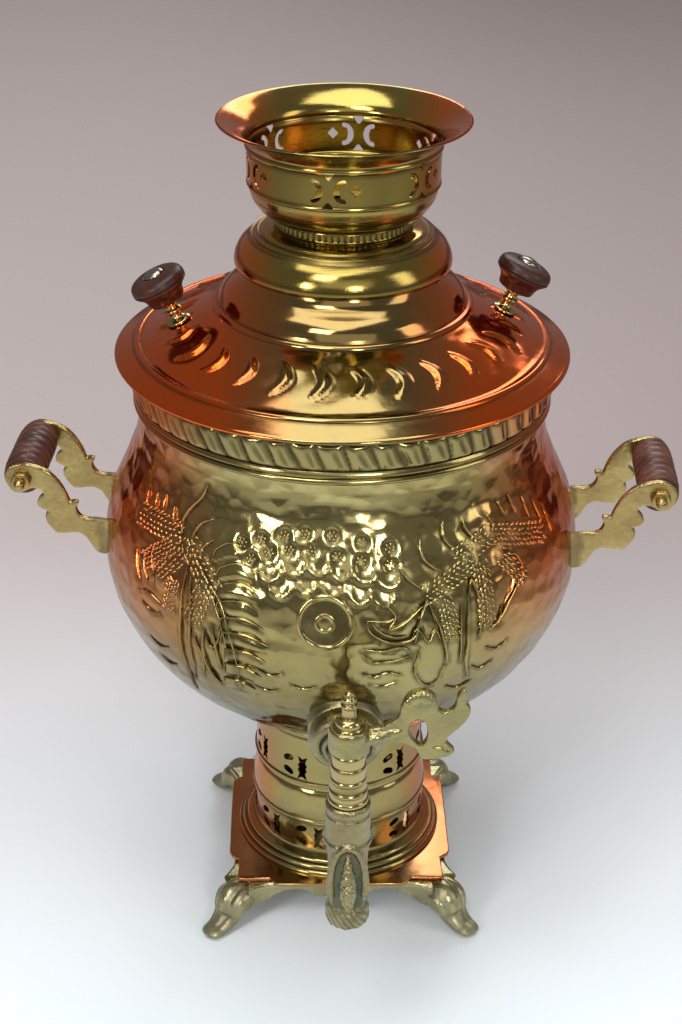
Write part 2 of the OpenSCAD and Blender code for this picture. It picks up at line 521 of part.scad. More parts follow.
module knob_caps() color(silver) placed() for (side = [-1, 1]) at_knob(side)
    turned([[0, 27.1], [5.5, 27.1], [5.5, 29.2], [4.9, 30.2], [3.4, 31.0], [1.8, 31.4], [0, 31.5]]);
module knob_nuts() color(golden) placed() for (side = [-1, 1]) at_knob(side)
    translate([0, 0, -lid_sheet - 0.5 - 3]) hex_nut(4.2, 2.05, 3);

// crown: pierced bowl, milled ring, dome and the sleeve inside the fire tube
sleeve_r = tube_top_r - 1.4 - 1;
ring_wide = 5;
ring_r = sleeve_r + 5.2 + ring_wide;
wall_top = bowl_h - 12.5;
bowl_line = concat([[sleeve_r - 1.8, bowl_z], [33, bowl_z], [35.4, bowl_z]],
    shift([[-11.6, 0.6], [-9.2, 1.7], [-6.2, 4.2], [-3.8, 7.2], [-2.0, 10.4], [-0.9, 14.0],
        [-0.4, 16.2], [0.3, 16.8], [0.3, 17.7], [-0.2, 18.3]], bowl_r, bowl_z),
    shift([[0.2, -1.6], [0.9, -0.8], [1.0, 0.2], [0.5, 1.0], [1.3, 2.8],
        [3.2, 5.4]], bowl_r, bowl_z + wall_top),
    shift([[-9.0, -3.8], [-5.1, -1.6], [-1.4, -0.2], [-0.2, 0.1],
        [0, 0.8]], crown_r, bowl_z + bowl_h - 0.8));
window_z = bowl_z + (wall_top + 16) / 2;
module crown_bowl() color(golden) placed() difference() {
    sheet_ring(bowl_line, 1.1);
    around(windows, -10.4) radial_cut(bowl_r, window_z) window();
}
module crown_ring() color(golden) placed() translate([0, 0, ring_z]) difference() {
    cylinder(h = 5, r = ring_r);
    translate([0, 0, -1]) cylinder(h = 8, r = ring_r - ring_wide);
    around(66, 0) translate([0, -ring_r - 0.3, -1]) cylinder(h = 8, r = 0.9, $fn = 16);
}
// Inner slope of the dome: share of the way from the ring to the dome's own top, height from the ring
dome_slope = [[0.947, -5.7], [0.84, -4.9], [0.773, -5.3], [0.72, -4.5], [0.627, -3.3], [0.547, -3.5],
    [0.433, -1.9], [0.213, -0.9], [0.093, -0.3], [0, -0.2]];
dome_line = concat(shift([[-1.5, 0], [-0.3, 1.4], [0, 3.8], [-0.9, 7.4], [-3.3, 11.6],
    [-6.5, 14.6]], dome_r, dome_z),
    [for (p = dome_slope) [ring_r + p[0] * (dome_r - 6.5 - ring_r), ring_z + p[1]]]);
module crown_dome() color(polished) placed() sheet_ring(dome_line, 1.1);
module crown_sleeve() color(soot) placed() difference() {
    union() {
        translate([0, 0, tube_top_z - 24]) cylinder(h = bowl_z - seat - tube_top_z + 24, r = sleeve_r);
        translate([0, 0, tube_top_z + rest_gap]) cylinder(h = 1.6, r = tube_top_r + 1.2);
    }
    translate([0, 0, tube_top_z - 30]) cylinder(h = 80, r = sleeve_r - 1.2);
}

base_plate();
foot_frame();
foot_front_left();
foot_front_right();
foot_back_left();
foot_back_right();
stand_lower();
stand_upper();
belly();
belly_floor();
collar();
fire_tube();
grate();
bracket_left_front();
bracket_left_back();
bracket_right_front();
bracket_right_back();
grip_left();
grip_right();
rod_left();
rod_right();
handle_nuts();
tap_flange();
tap_body();
key_plug();
key_handle();
lid();
lid_spigot();
knob_stem_left();
knob_stem_right();
knob_left();
knob_right();
knob_caps();
knob_nuts();
crown_bowl();
crown_ring();
crown_dome();
crown_sleeve();
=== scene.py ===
import bmesh
import bpy
import json
import math
import numpy as np
import random
from mathutils import Matrix, Vector, noise

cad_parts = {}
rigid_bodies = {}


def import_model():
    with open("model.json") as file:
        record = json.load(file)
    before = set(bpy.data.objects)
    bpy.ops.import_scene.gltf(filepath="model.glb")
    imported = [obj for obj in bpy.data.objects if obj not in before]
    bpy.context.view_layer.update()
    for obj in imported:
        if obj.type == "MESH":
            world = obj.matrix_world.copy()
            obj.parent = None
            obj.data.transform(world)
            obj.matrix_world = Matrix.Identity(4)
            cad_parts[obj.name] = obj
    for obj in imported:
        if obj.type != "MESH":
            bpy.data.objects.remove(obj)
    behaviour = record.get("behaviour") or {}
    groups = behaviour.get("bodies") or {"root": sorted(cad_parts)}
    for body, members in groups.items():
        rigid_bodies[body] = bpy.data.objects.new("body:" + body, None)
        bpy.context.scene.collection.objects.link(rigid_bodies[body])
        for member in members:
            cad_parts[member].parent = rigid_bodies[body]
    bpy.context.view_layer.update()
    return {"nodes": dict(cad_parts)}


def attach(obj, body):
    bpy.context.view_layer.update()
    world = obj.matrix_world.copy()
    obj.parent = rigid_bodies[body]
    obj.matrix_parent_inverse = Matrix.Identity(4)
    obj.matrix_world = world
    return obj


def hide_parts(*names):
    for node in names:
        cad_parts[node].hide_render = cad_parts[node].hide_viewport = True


for spare in list(bpy.data.objects):
    bpy.data.objects.remove(spare)
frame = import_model()

# ---------------------------------------------------------------- feet
# Four feet cast in sand from yellow brass, each a leaf that bends down from a round knee and curls out at
# the toe. Their backs are screwed up against the cast frame. Only the high ribs are polished; the valleys
# keep a dull grey-green skin.
mm = 0.001
middle = 32.2
at_middle = Matrix.Translation((0, middle * mm, 0))
random.seed(7)


class Wire:
    """One value running through a finish. A sum written on it in Python adds the Math nodes."""

    def __init__(self, finish, socket):
        self.finish = finish
        self.socket = socket

    def maths(self, operation, first, second):
        return self.finish.node("ShaderNodeMath", {"operation": operation}, {0: first, 1: second})

    def __add__(self, other):
        return self.maths("ADD", self, other)

    def __radd__(self, other):
        return self.maths("ADD", other, self)

    def __sub__(self, other):
        return self.maths("SUBTRACT", self, other)

    def __rsub__(self, other):
        return self.maths("SUBTRACT", other, self)

    def __mul__(self, other):
        return self.maths("MULTIPLY", self, other)

    def __rmul__(self, other):
        return self.maths("MULTIPLY", other, self)

    def __pow__(self, other):
        return self.maths("POWER", self, other)


class Finish:
    """A material, built node by node round its shader."""

    def __init__(self, name):
        self.material = bpy.data.materials.new(name)
        self.material.use_nodes = True
        self.tree = self.material.node_tree
        self.shader = self.tree.nodes["Principled BSDF"]

    def node(self, kind, settings, values, out=0):
        made = self.tree.nodes.new(kind)
        for key, value in settings.items():
            if key == "stops":
                for extra in value[2:]:
                    made.color_ramp.elements.new(extra[0])
                for stop, (at, colour) in zip(made.color_ramp.elements, value):
                    stop.position = at
                    stop.color = (*colour, 1)
            else:
                setattr(made, key, value)
        for key, value in values.items():
            if isinstance(value, Wire):
                self.tree.links.new(value.socket, made.inputs[key])
            else:
                made.inputs[key].default_value = value
        return Wire(self, made.outputs[out])

    def set(self, **values):
        for key, value in values.items():
            socket = self.shader.inputs[key.replace("_", " ")]
            if isinstance(value, Wire):
                self.tree.links.new(value.socket, socket)
            else:
                socket.default_value = value
        return self.material

    def spot(self, stretch=(1, 1, 1)):
        place = self.node("ShaderNodeTexCoord", {}, {}, out=3)
        return self.node("ShaderNodeMapping", {}, {"Vector": place, "Scale": stretch})

    def cloud(self, scale, detail=4, rough=0.55, stretch=(1, 1, 1)):
        values = {"Vector": self.spot(stretch), "Scale": scale, "Detail": detail, "Roughness": rough}
        return self.node("ShaderNodeTexNoise", {}, values)

    def aside(self):
        return self.node("ShaderNodeSeparateXYZ", {}, {"Vector": self.spot()}, out=0)

    def height(self):
        return self.node("ShaderNodeSeparateXYZ", {}, {"Vector": self.spot()}, out=2)

    def valley(self):
        return self.node("ShaderNodeAttribute", {"attribute_name": "valley"}, {}, out=2)

    def between(self, wire, low, high):
        return self.node("ShaderNodeMapRange", {}, {"Value": wire, "From Min": low, "From Max": high})

    def mixed(self, share, first, second):
        pair = {}
        for key, value in ((6, first), (7, second)):
            pair[key] = value if isinstance(value, Wire) else (*value, 1)
        return self.node("ShaderNodeMix", {"data_type": "RGBA"}, {0: share, **pair}, out=2)

    def bumped(self, height, depth, under=None):
        links = {"Height": height, "Distance": depth, "Strength": 1.0}
        if under:
            links["Normal"] = under
        return self.node("ShaderNodeBump", {}, links)


def cast_brass(name, bright, dull, patina, green, grain=0.00022):
    """Sand-cast brass: bright where hands and cloth reach, dull and green-grey in the valleys."""
    f = Finish(name)
    worn = f.between(f.cloud(38, 5, 0.6), 0.38, 0.66)
    stain = f.between(f.cloud(85, 6, 0.7), 0.5, 0.72)
    low = f.valley()
    hidden = f.between(low + stain * 0.55, 0.35, 1.1)
    skin = f.mixed(worn, dull, bright)
    colour = f.mixed(hidden * green, skin, patina)
    pits = f.cloud(420, 4, 0.7)
    sand = f.cloud(1500, 2, 0.5)
    bump = f.bumped(pits * 0.8 + sand * 0.25, grain)
    return f.set(Base_Color=colour, Metallic=1.0 - hidden * (0.55 * green),
                 Roughness=0.27 + hidden * 0.3 + stain * 0.1, Normal=bump)


def fresh():
    """Puts everything down before the next piece is picked up."""
    if bpy.context.object and bpy.context.object.mode != "OBJECT":
        bpy.ops.object.mode_set(mode="OBJECT")
    bpy.ops.object.select_all(action="DESELECT")


def picked(piece):
    fresh()
    bpy.context.view_layer.objects.active = piece
    piece.select_set(True)


def cleaned(piece, join=1e-6):
    picked(piece)
    bpy.ops.object.mode_set(mode="EDIT")
    bpy.ops.mesh.select_all(action="SELECT")
    bpy.ops.mesh.remove_doubles(threshold=join)
    bpy.ops.mesh.normals_make_consistent(inside=False)
    bpy.ops.object.mode_set(mode="OBJECT")


def settled(piece, corners):
    """Moves the corners that are picked to their places, in mm. Each knows its own number in the ring."""
    work = bmesh.from_edit_mesh(piece.data)
    number = work.verts.layers.int["number"]
    for v in work.verts:
        if v.select:
            v.co = Vector(corners[v[number]]) * mm
    bmesh.update_edit_mesh(piece.data)


def started(name, count, fill):
    fresh()
    bpy.ops.mesh.primitive_circle_add(vertices=count, radius=0.01, fill_type=fill)
    piece = bpy.context.object
    piece.name = name
    bpy.ops.object.mode_set(mode="EDIT")
    work = bmesh.from_edit_mesh(piece.data)
    number = work.verts.layers.int.new("number")
    for i, v in enumerate(work.verts):
        v[number] = i
    bmesh.update_edit_mesh(piece.data)
    return piece


def drawn(name, rings):
    """Draws a closed bar out from ring to ring, with both ends capped."""
    piece = started(name, len(rings[0]), "NGON")
    settled(piece, rings[0])
    for ring in rings[1:]:
        bpy.ops.mesh.extrude_region_move()
        settled(piece, ring)
    cleaned(piece)
    return piece


def turned(name, line, steps=160, place=None):
    """Turns a section of radius and height in mm about the middle of the samovar, or about place."""
    piece = started(name, 3, "NOTHING")
    bpy.ops.mesh.select_all(action="SELECT")
    bpy.ops.mesh.merge(type="CENTER")
    work = bmesh.from_edit_mesh(piece.data)
    for v in work.verts:
        v.co = (line[0][0] * mm, 0, line[0][1] * mm)
    for r, z in line[1:]:
        bpy.ops.mesh.extrude_region_move()
        work = bmesh.from_edit_mesh(piece.data)
        for v in work.verts:
            if v.select:
                v.co = (r * mm, 0, z * mm)
    bpy.ops.mesh.select_all(action="SELECT")
    bpy.ops.mesh.spin(steps=steps, angle=2 * math.pi, center=(0, 0, 0), axis=(0, 0, 1))
    cleaned(piece, 2e-6)
    return moved(piece, place or at_middle)


def moved(piece, place):
    picked(piece)
    piece.matrix_world = place
    bpy.ops.object.transform_apply(location=True, rotation=True, scale=True)
    return piece


def copied(piece, name, place):
    twin = bpy.data.objects.new(name, piece.data.copy())
    bpy.context.scene.collection.objects.link(twin)
    return moved(twin, place)


def joined(pieces, name):
    picked(pieces[0])
    for piece in pieces[1:]:
        piece.select_set(True)
    if len(pieces) > 1:
        bpy.ops.object.join()
    pieces[0].name = name
    return pieces[0]


def changed(piece, kind, **settings):
    """Adds one modifier and applies it."""
    picked(piece)
    modifier = piece.modifiers.new(kind.lower(), kind)
    for key, value in settings.items():
        setattr(modifier, key, value)
    bpy.ops.object.modifier_apply(modifier=modifier.name)


def smooth(piece, angle=32):
    picked(piece)
    bpy.ops.object.shade_smooth_by_angle(angle=math.radians(angle))
    return piece


def fitted(piece, body, slot, material, *nodes):
    """The piece is finished: it gets its metal, its body and the CAD nodes that it stands for."""
    piece.data.materials.clear()
    piece.data.materials.append(material)
    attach(piece, body)
    if nodes:
        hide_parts(*nodes)


def eased(points, steps, closed=False):
    """A smooth line through the points; a point given twice stays a corner."""
    last = len(points) - 1
    line = []
    for i in range(len(points) if closed else last):
        a, b = points[i - 1 if closed else max(i - 1, 0)], points[i]
        c = points[(i + 1) % len(points)]
        d = points[(i + 2) % len(points)] if closed else points[min(i + 2, last)]
        if b == c:
            continue
        if a == b:
            a = [2 * p - q for p, q in zip(b, c)]
        if c == d:
            d = [2 * q - p for p, q in zip(b, c)]
        for k in range(steps):
            t = k / steps
            line.append([0.5 * (2 * q + (r - p) * t + (2 * p - 5 * q + 4 * r - s) * t * t
                         + (3 * q - p - 3 * r + s) * t ** 3) for p, q, r, s in zip(a, b, c, d)])
    return line if closed else line + [list(points[-1])]


def scored(piece, depth_at):
    """Keeps, corner by corner, how deep in a valley the surface lies, for the finish to read."""
    layer = piece.data.attributes.new("valley", "FLOAT", "POINT")
    layer.data.foreach_set("value", [depth_at(v.co) for v in piece.data.vertices])


def held(value):
    """The value, kept between 0 and 1."""
    return min(1, max(0, value))


def corners_of(piece):
    """The corners of a piece as one array, in mm from the middle of the samovar."""
    flat = np.empty(len(piece.data.vertices) * 3)
    piece.data.vertices.foreach_get("co", flat)
    return flat.reshape(-1, 3) / mm - (0, middle, 0)


def reshaped(piece, corners, low):
    """Puts the corners where they have been pushed to and keeps how deep in a valley each lies."""
    piece.data.vertices.foreach_set("co", ((corners + (0, middle, 0)) * mm).ravel())
    piece.data.update()
    layer = piece.data.attributes.new("valley", "FLOAT", "POINT")
    layer.data.foreach_set("value", np.clip(low, 0, 1))


foot_spine = [[79, 17], [84, 17.4], [88.4, 16.4], [91.2, 12.8], [93.0, 9.0], [96.6, 6.0], [101, 3.9],
              [105.4, 3.3], [108.2, 2.7], [109.2, 2.3]]
foot_half = [9.6, 9.8, 8.9, 7.2, 5.6, 4.2, 3.2, 2.6, 1.9, 0.5]
foot_wide = [10.4, 11.4, 11.6, 10.6, 9.2, 8.0, 7.2, 6.6, 5.0, 1.4]
spine = eased([p + [h, w] for p, h, w in zip(foot_spine, foot_half, foot_wide)], 7)
foot_corners = 72
foot_rings = []
for i, (out, z, half, wide) in enumerate(spine):
    before, after = spine[max(i - 1, 0)], spine[min(i + 1, len(spine) - 1)]
    lean = math.atan2(after[1] - before[1], after[0] - before[0])
    along = i / (len(spine) - 1)
    ring = []
    for k in range(foot_corners):
        turn = 2 * math.pi * k / foot_corners
        up = max(math.sin(turn), 0) ** 0.5
        pleat = abs(math.sin(turn * 2.5 + 0.35 * math.sin(4 * along) - 0.1)) ** 0.6
        rib = 1 - 0.30 * up * (1 - pleat) * math.sin(math.pi * min(along * 1.15 + 0.06, 1)) ** 0.4
        side = math.cos(turn) * wide * (0.55 + 0.45 * rib)
        rise = math.sin(turn) * half * rib
        ring.append((out - math.sin(lean) * rise, side, max(z + math.cos(lean) * rise, 0.05)))
    foot_rings.append(ring)
foot = drawn("foot", foot_rings)
changed(foot, "REMESH", mode="VOXEL", voxel_size=0.5 * mm)
changed(foot, "SMOOTH", factor=0.5, iterations=2)
changed(foot, "DECIMATE", ratio=0.45)
foot_top = 26.8
foot_back = 77.0
for v in foot.data.vertices:
    v.co.z = min(max(v.co.z, 0), foot_top * mm)
    v.co.x = max(v.co.x, foot_back * mm)
scored(foot, lambda p: held(0.55 - (p.z * 18) + abs(math.sin(p.y * 620)) * 0.5))
foot_metal = cast_brass("cast_brass_feet", (0.50, 0.45, 0.25), (0.36, 0.32, 0.18), (0.15, 0.16, 0.11), 0.75)
for name, angle in (("foot_front_left", -135), ("foot_front_right", -45),
                    ("foot_back_left", 135), ("foot_back_right", 45)):
    place = at_middle @ Matrix.Rotation(math.radians(angle), 4, "Z")
    twin = smooth(copied(foot, "cast_" + name, place), 50)
    fitted(twin, "urn", "cast_brass", foot_metal, name)
bpy.data.objects.remove(foot)

# ---------------------------------------------------------------- cast frame
# A low square frame cast in one piece. The apron on each side hangs deep at the corners, where the feet are
# screwed to it, rises in two arches and has a tab between them. Its faces are left from the mould.
foot_h = 29.4
frame_top = foot_h - 2.6
plate_half = 59.3
plate_side = plate_half + 5.5


def slab(name, outline, thickness, place, bevel, segments=3):
    """Fills an outline, given in mm, pulls it up to its thickness and rounds its edges."""
    piece = started(name, len(outline), "NGON")
    settled(piece, [(x, y, 0) for x, y in outline])
    bpy.ops.mesh.extrude_region_move()
    settled(piece, [(x, y, thickness) for x, y in outline])
    cleaned(piece)
    changed(piece, "BEVEL", width=bevel * mm, segments=segments, limit_method="ANGLE",
            angle_limit=math.radians(40), harden_normals=False)
    return moved(piece, place)


def spun(angle):
    """A turn about the middle of the samovar."""
    turn = Matrix.Rotation(math.radians(angle), 4, "Z")
    return at_middle @ turn @ Matrix.Translation((0, -middle * mm, 0))


apron = eased([[-53, 13.0], [-50.5, 14.6], [-47, 14.4], [-43, 12.2], [-38, 8.8], [-32, 6.0], [-26, 4.9],
               [-21, 5.4], [-17.4, 7.6], [-14.4, 9.8], [-8, 10.2], [0, 10.3]], 4)
apron += [[-x, deep] for x, deep in reversed(apron[:-1])]
walls = []
for turn in range(4):
    rings = []
    for x, deep in apron:
        front = -plate_half - 1.3 - 5.6 * max(0.0, (abs(x) - 38) / 15) ** 1.7
        wide = 3.4 + 5.0 * max(0.0, (abs(x) - 36) / 17)
        rings.append([(x, middle + front + dy, frame_top + z) for dy, z in
                      ((0, -0.9), (-0.8, -0.6), (-1.3, -1.6), (-1.1, -2.8), (-0.5, -4.0), (-0.4, 0.9 - deep),
                       (0.2, 0.2 - deep), (1.4, -deep), (2.8, 0.2 - deep), (3.4, 0.9 - deep), (wide, -2.8),
                       (wide - 0.2, -0.7), (wide - 1.0, 0), (0.6, 0))])
    walls.append(moved(drawn("apron", rings), spun(90 * turn)))
plan = [[-plate_half, -plate_half], [-plate_half + 5, -plate_half - 0.2], [-41, -plate_half + 0.4],
        [-37.5, -plate_side + 1.2], [-34, -plate_side], [-17, -plate_side - 0.1], [0, -plate_side - 0.2],
        [17, -plate_side - 0.1], [34, -plate_side], [37.5, -plate_side + 1.2], [41, -plate_half + 0.4],
        [plate_half - 5, -plate_half - 0.2]]


def quartered(corners):
    """The same row of corners on each side of the square."""
    full = []
    for turn in range(4):
        c, s = (1, 0, -1, 0)[turn], (0, 1, 0, -1)[turn]
        full += [(x * c - y * s, x * s + y * c) for x, y in corners]
    return full


def level(z):
    return Matrix.Translation((0, middle * mm, z * mm))


def pierced(piece, *cutters):
    """Cuts each cutter out of the piece and takes the cutter away."""
    for cutter in cutters:
        changed(piece, "BOOLEAN", operation="DIFFERENCE", object=cutter, solver="EXACT")
        bpy.data.objects.remove(cutter)


shelf_share = 0.95
shelf_plan = [(x * shelf_share, y * shelf_share) for x, y in quartered(plan)]
shelf = slab("shelf", shelf_plan, 2.0, level(frame_top - 2.1), 0.5)
pierced(shelf, turned("hole", [[0, -1], [45, -1], [45, 40], [0, 40]], 96))
skirt = joined(walls, "skirt")
scored(skirt, lambda p: held(0.9 - 36 * p.z))
scored(shelf, lambda p: 0.9)
frame_casting = smooth(joined([skirt, shelf], "foot_frame_casting"), 40)
fitted(frame_casting, "urn", "cast_brass", foot_metal, "foot_frame")

# ---------------------------------------------------------------- base plate
# A square of rolled sheet with its sides standing out, pressed down on the cast frame. It is polished with
# the stand in place, so faint rings run round on it, and its rim is turned under.


def sheet_brass(name, bright, warm, dark, tone, rough, dents=0.00035, ring_lines=0.5,
                painted_reflection=None, facets=0.0, foot=None):
    """Polished brass sheet: clear metal with warmer clouds, thin polishing lines, shallow dents and old
    polish left dark in whatever is chased into it, with painted shadow under the chased leaves of the belly.
    A painted reflection is an orange-red reflection of the room painted into the colour; it grows between two
    distances to the left and right of the middle, in metres, and between two heights if they are given. At a
    foot, from the higher of two heights down to the lower, the colour grows darker. Facets are the shallow
    flats that a planishing hammer leaves."""
    f = Finish(name)
    wide = f.between(f.cloud(9, 3, 0.5), 0.35, 0.68)
    cloud = f.between(f.cloud(46, 5, 0.65), 0.42, 0.7)
    low = f.valley()
    skin = f.mixed(wide * tone, bright, warm)
    # Painted reflection: an orange-red reflection of the room is painted into the colour to the left and
    # right.
    if painted_reflection:
        reflection_colour, near, far, *heights = painted_reflection
        x = f.aside()
        aside = f.between(x * x, near * near, far * far)
        if heights:
            aside = aside * (0.35 + f.between(f.height(), *heights) * 0.65)
        skin = f.mixed(aside * (0.8 + wide * 0.2), skin, reflection_colour)
    # The colour grows darker towards the lower height.
    if foot:
        near_foot = f.between(f.height() + cloud * 0.03 - wide * 0.02, foot[1], foot[0])
        skin = f.mixed(near_foot * 0.8, skin, dark)
    colour = f.mixed(f.between(low + cloud * 0.22, 0.12, 1.15), skin, dark)
    lines = f.cloud(30, 5, 0.75, (1, 1, 34))
    rub = f.cloud(210, 5, 0.7)
    hammer = f.cloud(52, 2, 0.4)
    worn = f.bumped(lines * ring_lines + rub * 0.35, 0.00005)
    bump = f.bumped(hammer, dents, worn)
    if facets:
        cells = f.node("ShaderNodeTexVoronoi", {"feature": "SMOOTH_F1"},
                       {"Vector": f.spot(), "Scale": 115.0, "Smoothness": 0.25})
        bump = f.bumped(cells, facets, bump)
    return f.set(Base_Color=colour, Metallic=1.0, Normal=bump,
                 Roughness=rough + cloud * 0.07 + f.between(lines, 0.45, 0.75) * 0.05 + low * 0.2)


plate = slab("base_plate_sheet", quartered(plan), 2.4, level(foot_h - 2.4), 0.8, 4)
# Its sides get a painted orange-red reflection of the room.
base_metal = sheet_brass("sheet_brass_base", (0.42, 0.29, 0.13), (0.44, 0.21, 0.08), (0.12, 0.07, 0.03),
                         0.75, 0.16, painted_reflection=((0.52, 0.15, 0.05), 0.030, 0.060))
# The plate is darker in a narrow ring just outside the foot of the lower drum.
dark_ring_r = 0.0605
dark_ring_reach = 0.004
scored(plate, lambda p: 0.35 * max(0, 1 - abs(math.hypot(p.x, p.y - middle * mm) - dark_ring_r) / dark_ring_reach))
fitted(smooth(plate, 30), "urn", "sheet_brass", base_metal, "base_plate")

# ---------------------------------------------------------------- stand, lower tier
# A drum spun from sheet, with stepped rings at its foot where it meets the plate. Air for the fire comes in
# through slots that are punched all round: a waisted one, then a pair of beans.
neck_r = 47
lower_z = foot_h + 0.2
lower_h = 55.2
lower_r = neck_r + 3.4
bean = [[-3.5, 1.0], [-1.9, 2.6], [0.7, 2.2], [3.0, 0.7], [3.5, -1.2], [2.1, -2.4], [0, -1.8], [-2.4, -1.1]]
bone_half = [[0, 6.0], [1.5, 6.9], [3.1, 7.7], [3.1, 7.7], [2.3, 5.2], [1.9, 3.2], [3.0, 1.7], [2.1, 0],
             [3.0, -1.7], [1.9, -3.2], [2.3, -5.2], [3.1, -7.7], [3.1, -7.7], [1.5, -6.9], [0, -6.0]]
bone = bone_half + [[-x, z] for x, z in reversed(bone_half[1:-1])]


def punch(outlines, r, z, count, first):
    """Cutters for one kind of slot, set round the drum and pointing at its middle."""
    made = []
    for k in range(count):
        for outline in outlines:
            inner = [(x, -r + 5, z + up) for x, up in outline]
            outer = [(x, -r - 7, z + up) for x, up in outline]
            cutter = drawn("cutter", [inner, outer])
            turn = Matrix.Rotation(math.radians(first + k * 360 / count), 4, "Z")
            made.append(moved(cutter, at_middle @ turn))
    return joined(made, "punch")


def sheeted(line, t):
    """Gives a line of radius and height its wall thickness, inwards, and closes it."""
    inner = []
    for i, (r, z) in enumerate(line):
        a, b = line[max(i - 1, 0)], line[min(i + 1, len(line) - 1)]
        dr, dz = b[0] - a[0], b[1] - a[1]
        size = math.hypot(dr, dz) or 1
        inner.append([r - t * dz / size, z + t * dr / size])
    return line + inner[::-1] + [line[0]]


def along(points, r, z):
    return [[a + r, b + z] for a, b in points]


bean_line = eased(bean, 3, True)
bean_pair = [[(-x, up + 4.3) for x, up in bean_line], [(x, up - 4.3) for x, up in bean_line]]
bone_slot = [eased(bone, 2, True)]
lower_line = eased(along([[9.3, 0], [9.5, 1.4], [8.2, 2.7], [7.3, 2.9], [7.3, 2.9], [7.0, 4.3], [5.8, 5.4],
                          [4.4, 5.6], [4.4, 5.6], [4.1, 6.9], [2.8, 7.9], [1.2, 8.7], [-0.6, 10.4],
                          [-0.3, 18], [0, 29.4], [0, 29.4], [0.5, 30.1], [0.5, 31.2], [-0.1, 32],
                          [-0.1, 32], [0.1, 35], [-0.1, 39], [-0.9, 43.4], [-2.1, 48.6],
                          [-3.4, lower_h - 4], [-3.4, lower_h - 1.4]], lower_r, lower_z), 3)
lower = turned("stand_lower_drum", sheeted(lower_line, 1.3), 144)
pierced(lower, punch(bone_slot, lower_r, lower_z + 19.8, 11, -14.6),
        punch(bean_pair, lower_r, lower_z + 19.8, 11, 6))
# Its sides get a painted orange-red reflection of the room.
stand_metal = sheet_brass("sheet_brass_stand", (0.35, 0.29, 0.115), (0.30, 0.21, 0.08), (0.10, 0.075, 0.03),
                          0.6, 0.14, 0.0008, 0.5, ((0.72, 0.16, 0.035), 0.034, 0.052, 0.125, 0.095), 0.0003)


def ringed(piece, heights, reach):
    """Old polish is left along the grooves at these heights."""
    scored(piece, lambda p: max(0, *(1 - abs(p.z / mm - z) / reach for z in heights)))


ringed(lower, [lower_z + 2.9, lower_z + 5.6, lower_z + 9.6, lower_z + 29.2, lower_z + 32.2], 1.1)
fitted(smooth(lower, 34), "urn", "sheet_brass", stand_metal, "stand_lower")

# ---------------------------------------------------------------- stand, upper tier
# A second, narrower drum that carries the belly and hides the foot of the fire tube. It is punched with the
# same slots, and two beads are rolled in under the belly.
upper_z = lower_z + lower_h + 0.2
upper_h = 36.6
upper_r = neck_r + 1.6
upper_line = eased(along([[1.0, 0], [1.1, 1.2], [0.3, 1.9], [0.3, 1.9], [0, 4], [-0.3, 14], [-0.6, 24],
                          [-0.9, upper_h - 6.4], [-0.9, upper_h - 6.4], [-0.4, upper_h - 5.4],
                          [-0.3, upper_h - 3.8], [-0.9, upper_h - 2.8], [-0.9, upper_h - 2.8],
                          [-1.1, upper_h - 1.4], [-1.4, upper_h]], upper_r, upper_z), 3)
upper = turned("stand_upper_drum", sheeted(upper_line, 1.3), 144)
pierced(upper, punch(bone_slot, upper_r, upper_z + 10.2, 10, 9),
        punch(bean_pair, upper_r, upper_z + 10.2, 10, -2))
ringed(upper, [upper_z + 1.9, upper_z + upper_h - 6.4, upper_z + upper_h - 2.8], 0.9)
fitted(smooth(upper, 34), "urn", "sheet_brass", stand_metal, "stand_upper")

# ---------------------------------------------------------------- belly
# The water vessel, raised from two sheets of brass and chased from outside while it was full of pitch. The
# punch left raised leaves, cups and trees, and the hammer left shallow facets. It is soldered to the stand
# below and to the collar above, and tinned inside.
belly_r = 129.8
mouth_r = 109
belly_z = upper_z + upper_h + 0.2
belly_h = 188
wide_z = belly_z + 0.55 * belly_h
mouth_z = belly_z + belly_h
belly_low = [[0, 0], [0.024, 0.011], [0.060, 0.034], [0.109, 0.059], [0.160, 0.085], [0.254, 0.129],
             [0.345, 0.179], [0.471, 0.248], [0.582, 0.324], [0.698, 0.416], [0.797, 0.517], [0.882, 0.633],
             [0.947, 0.759], [0.986, 0.879], [1, 1]]
belly_high = [[0.962, 0.154], [0.861, 0.296], [0.688, 0.414], [0.471, 0.533], [0.260, 0.651],
              [0.096, 0.757], [0.014, 0.852], [-0.010, 0.923], [0, 1]]
belly_line = [[neck_r + (belly_r - neck_r) * a, belly_z + (wide_z - belly_z) * b] for a, b in belly_low]
belly_line += [[mouth_r + (belly_r - mouth_r) * a, wide_z + (mouth_z - wide_z) * b] for a, b in belly_high]
skin_line = eased(belly_line, 7)


def skin_at(z):
    """Radius of the belly at a height, and which way its skin faces there."""
    low, high = 0, len(skin_line) - 1
    while high - low > 1:
        half = (low + high) // 2
        low, high = (half, high) if skin_line[half][1] <= z else (low, half)
    (r0, z0), (r1, z1) = skin_line[low], skin_line[high]
    share = held((z - z0) / (z1 - z0))
    size = math.hypot(r1 - r0, z1 - z0)
    return r0 + (r1 - r0) * share, (z1 - z0) / size, -(r1 - r0) / size


def on_skin(angle, z, lift=0.0):
    """A point of the belly, by its angle from the tap side, its height and how far it stands off, in mm."""
    r, out, up = skin_at(z)
    reach = r + out * lift
    a = math.radians(angle)
    return Vector((reach * math.sin(a), middle - reach * math.cos(a), z + up * lift))


# What is chased. Angles are in degrees from the front and heights in mm from the ground.
# stacked leaves: angle and height of the root, length and how much the leaf leans
leaf_stack = [[-33, 267, 15, 30], [-31, 259.5, 20, 14], [-30.5, 251.5, 22, 6], [-30, 243.5, 23, 0],
              [-29, 235.5, 24, -6], [-28.5, 227.5, 25, -10], [-28, 218, 23, -14], [-28.5, 208.5, 20, -20],
              [-29.5, 198, 17, -26]]
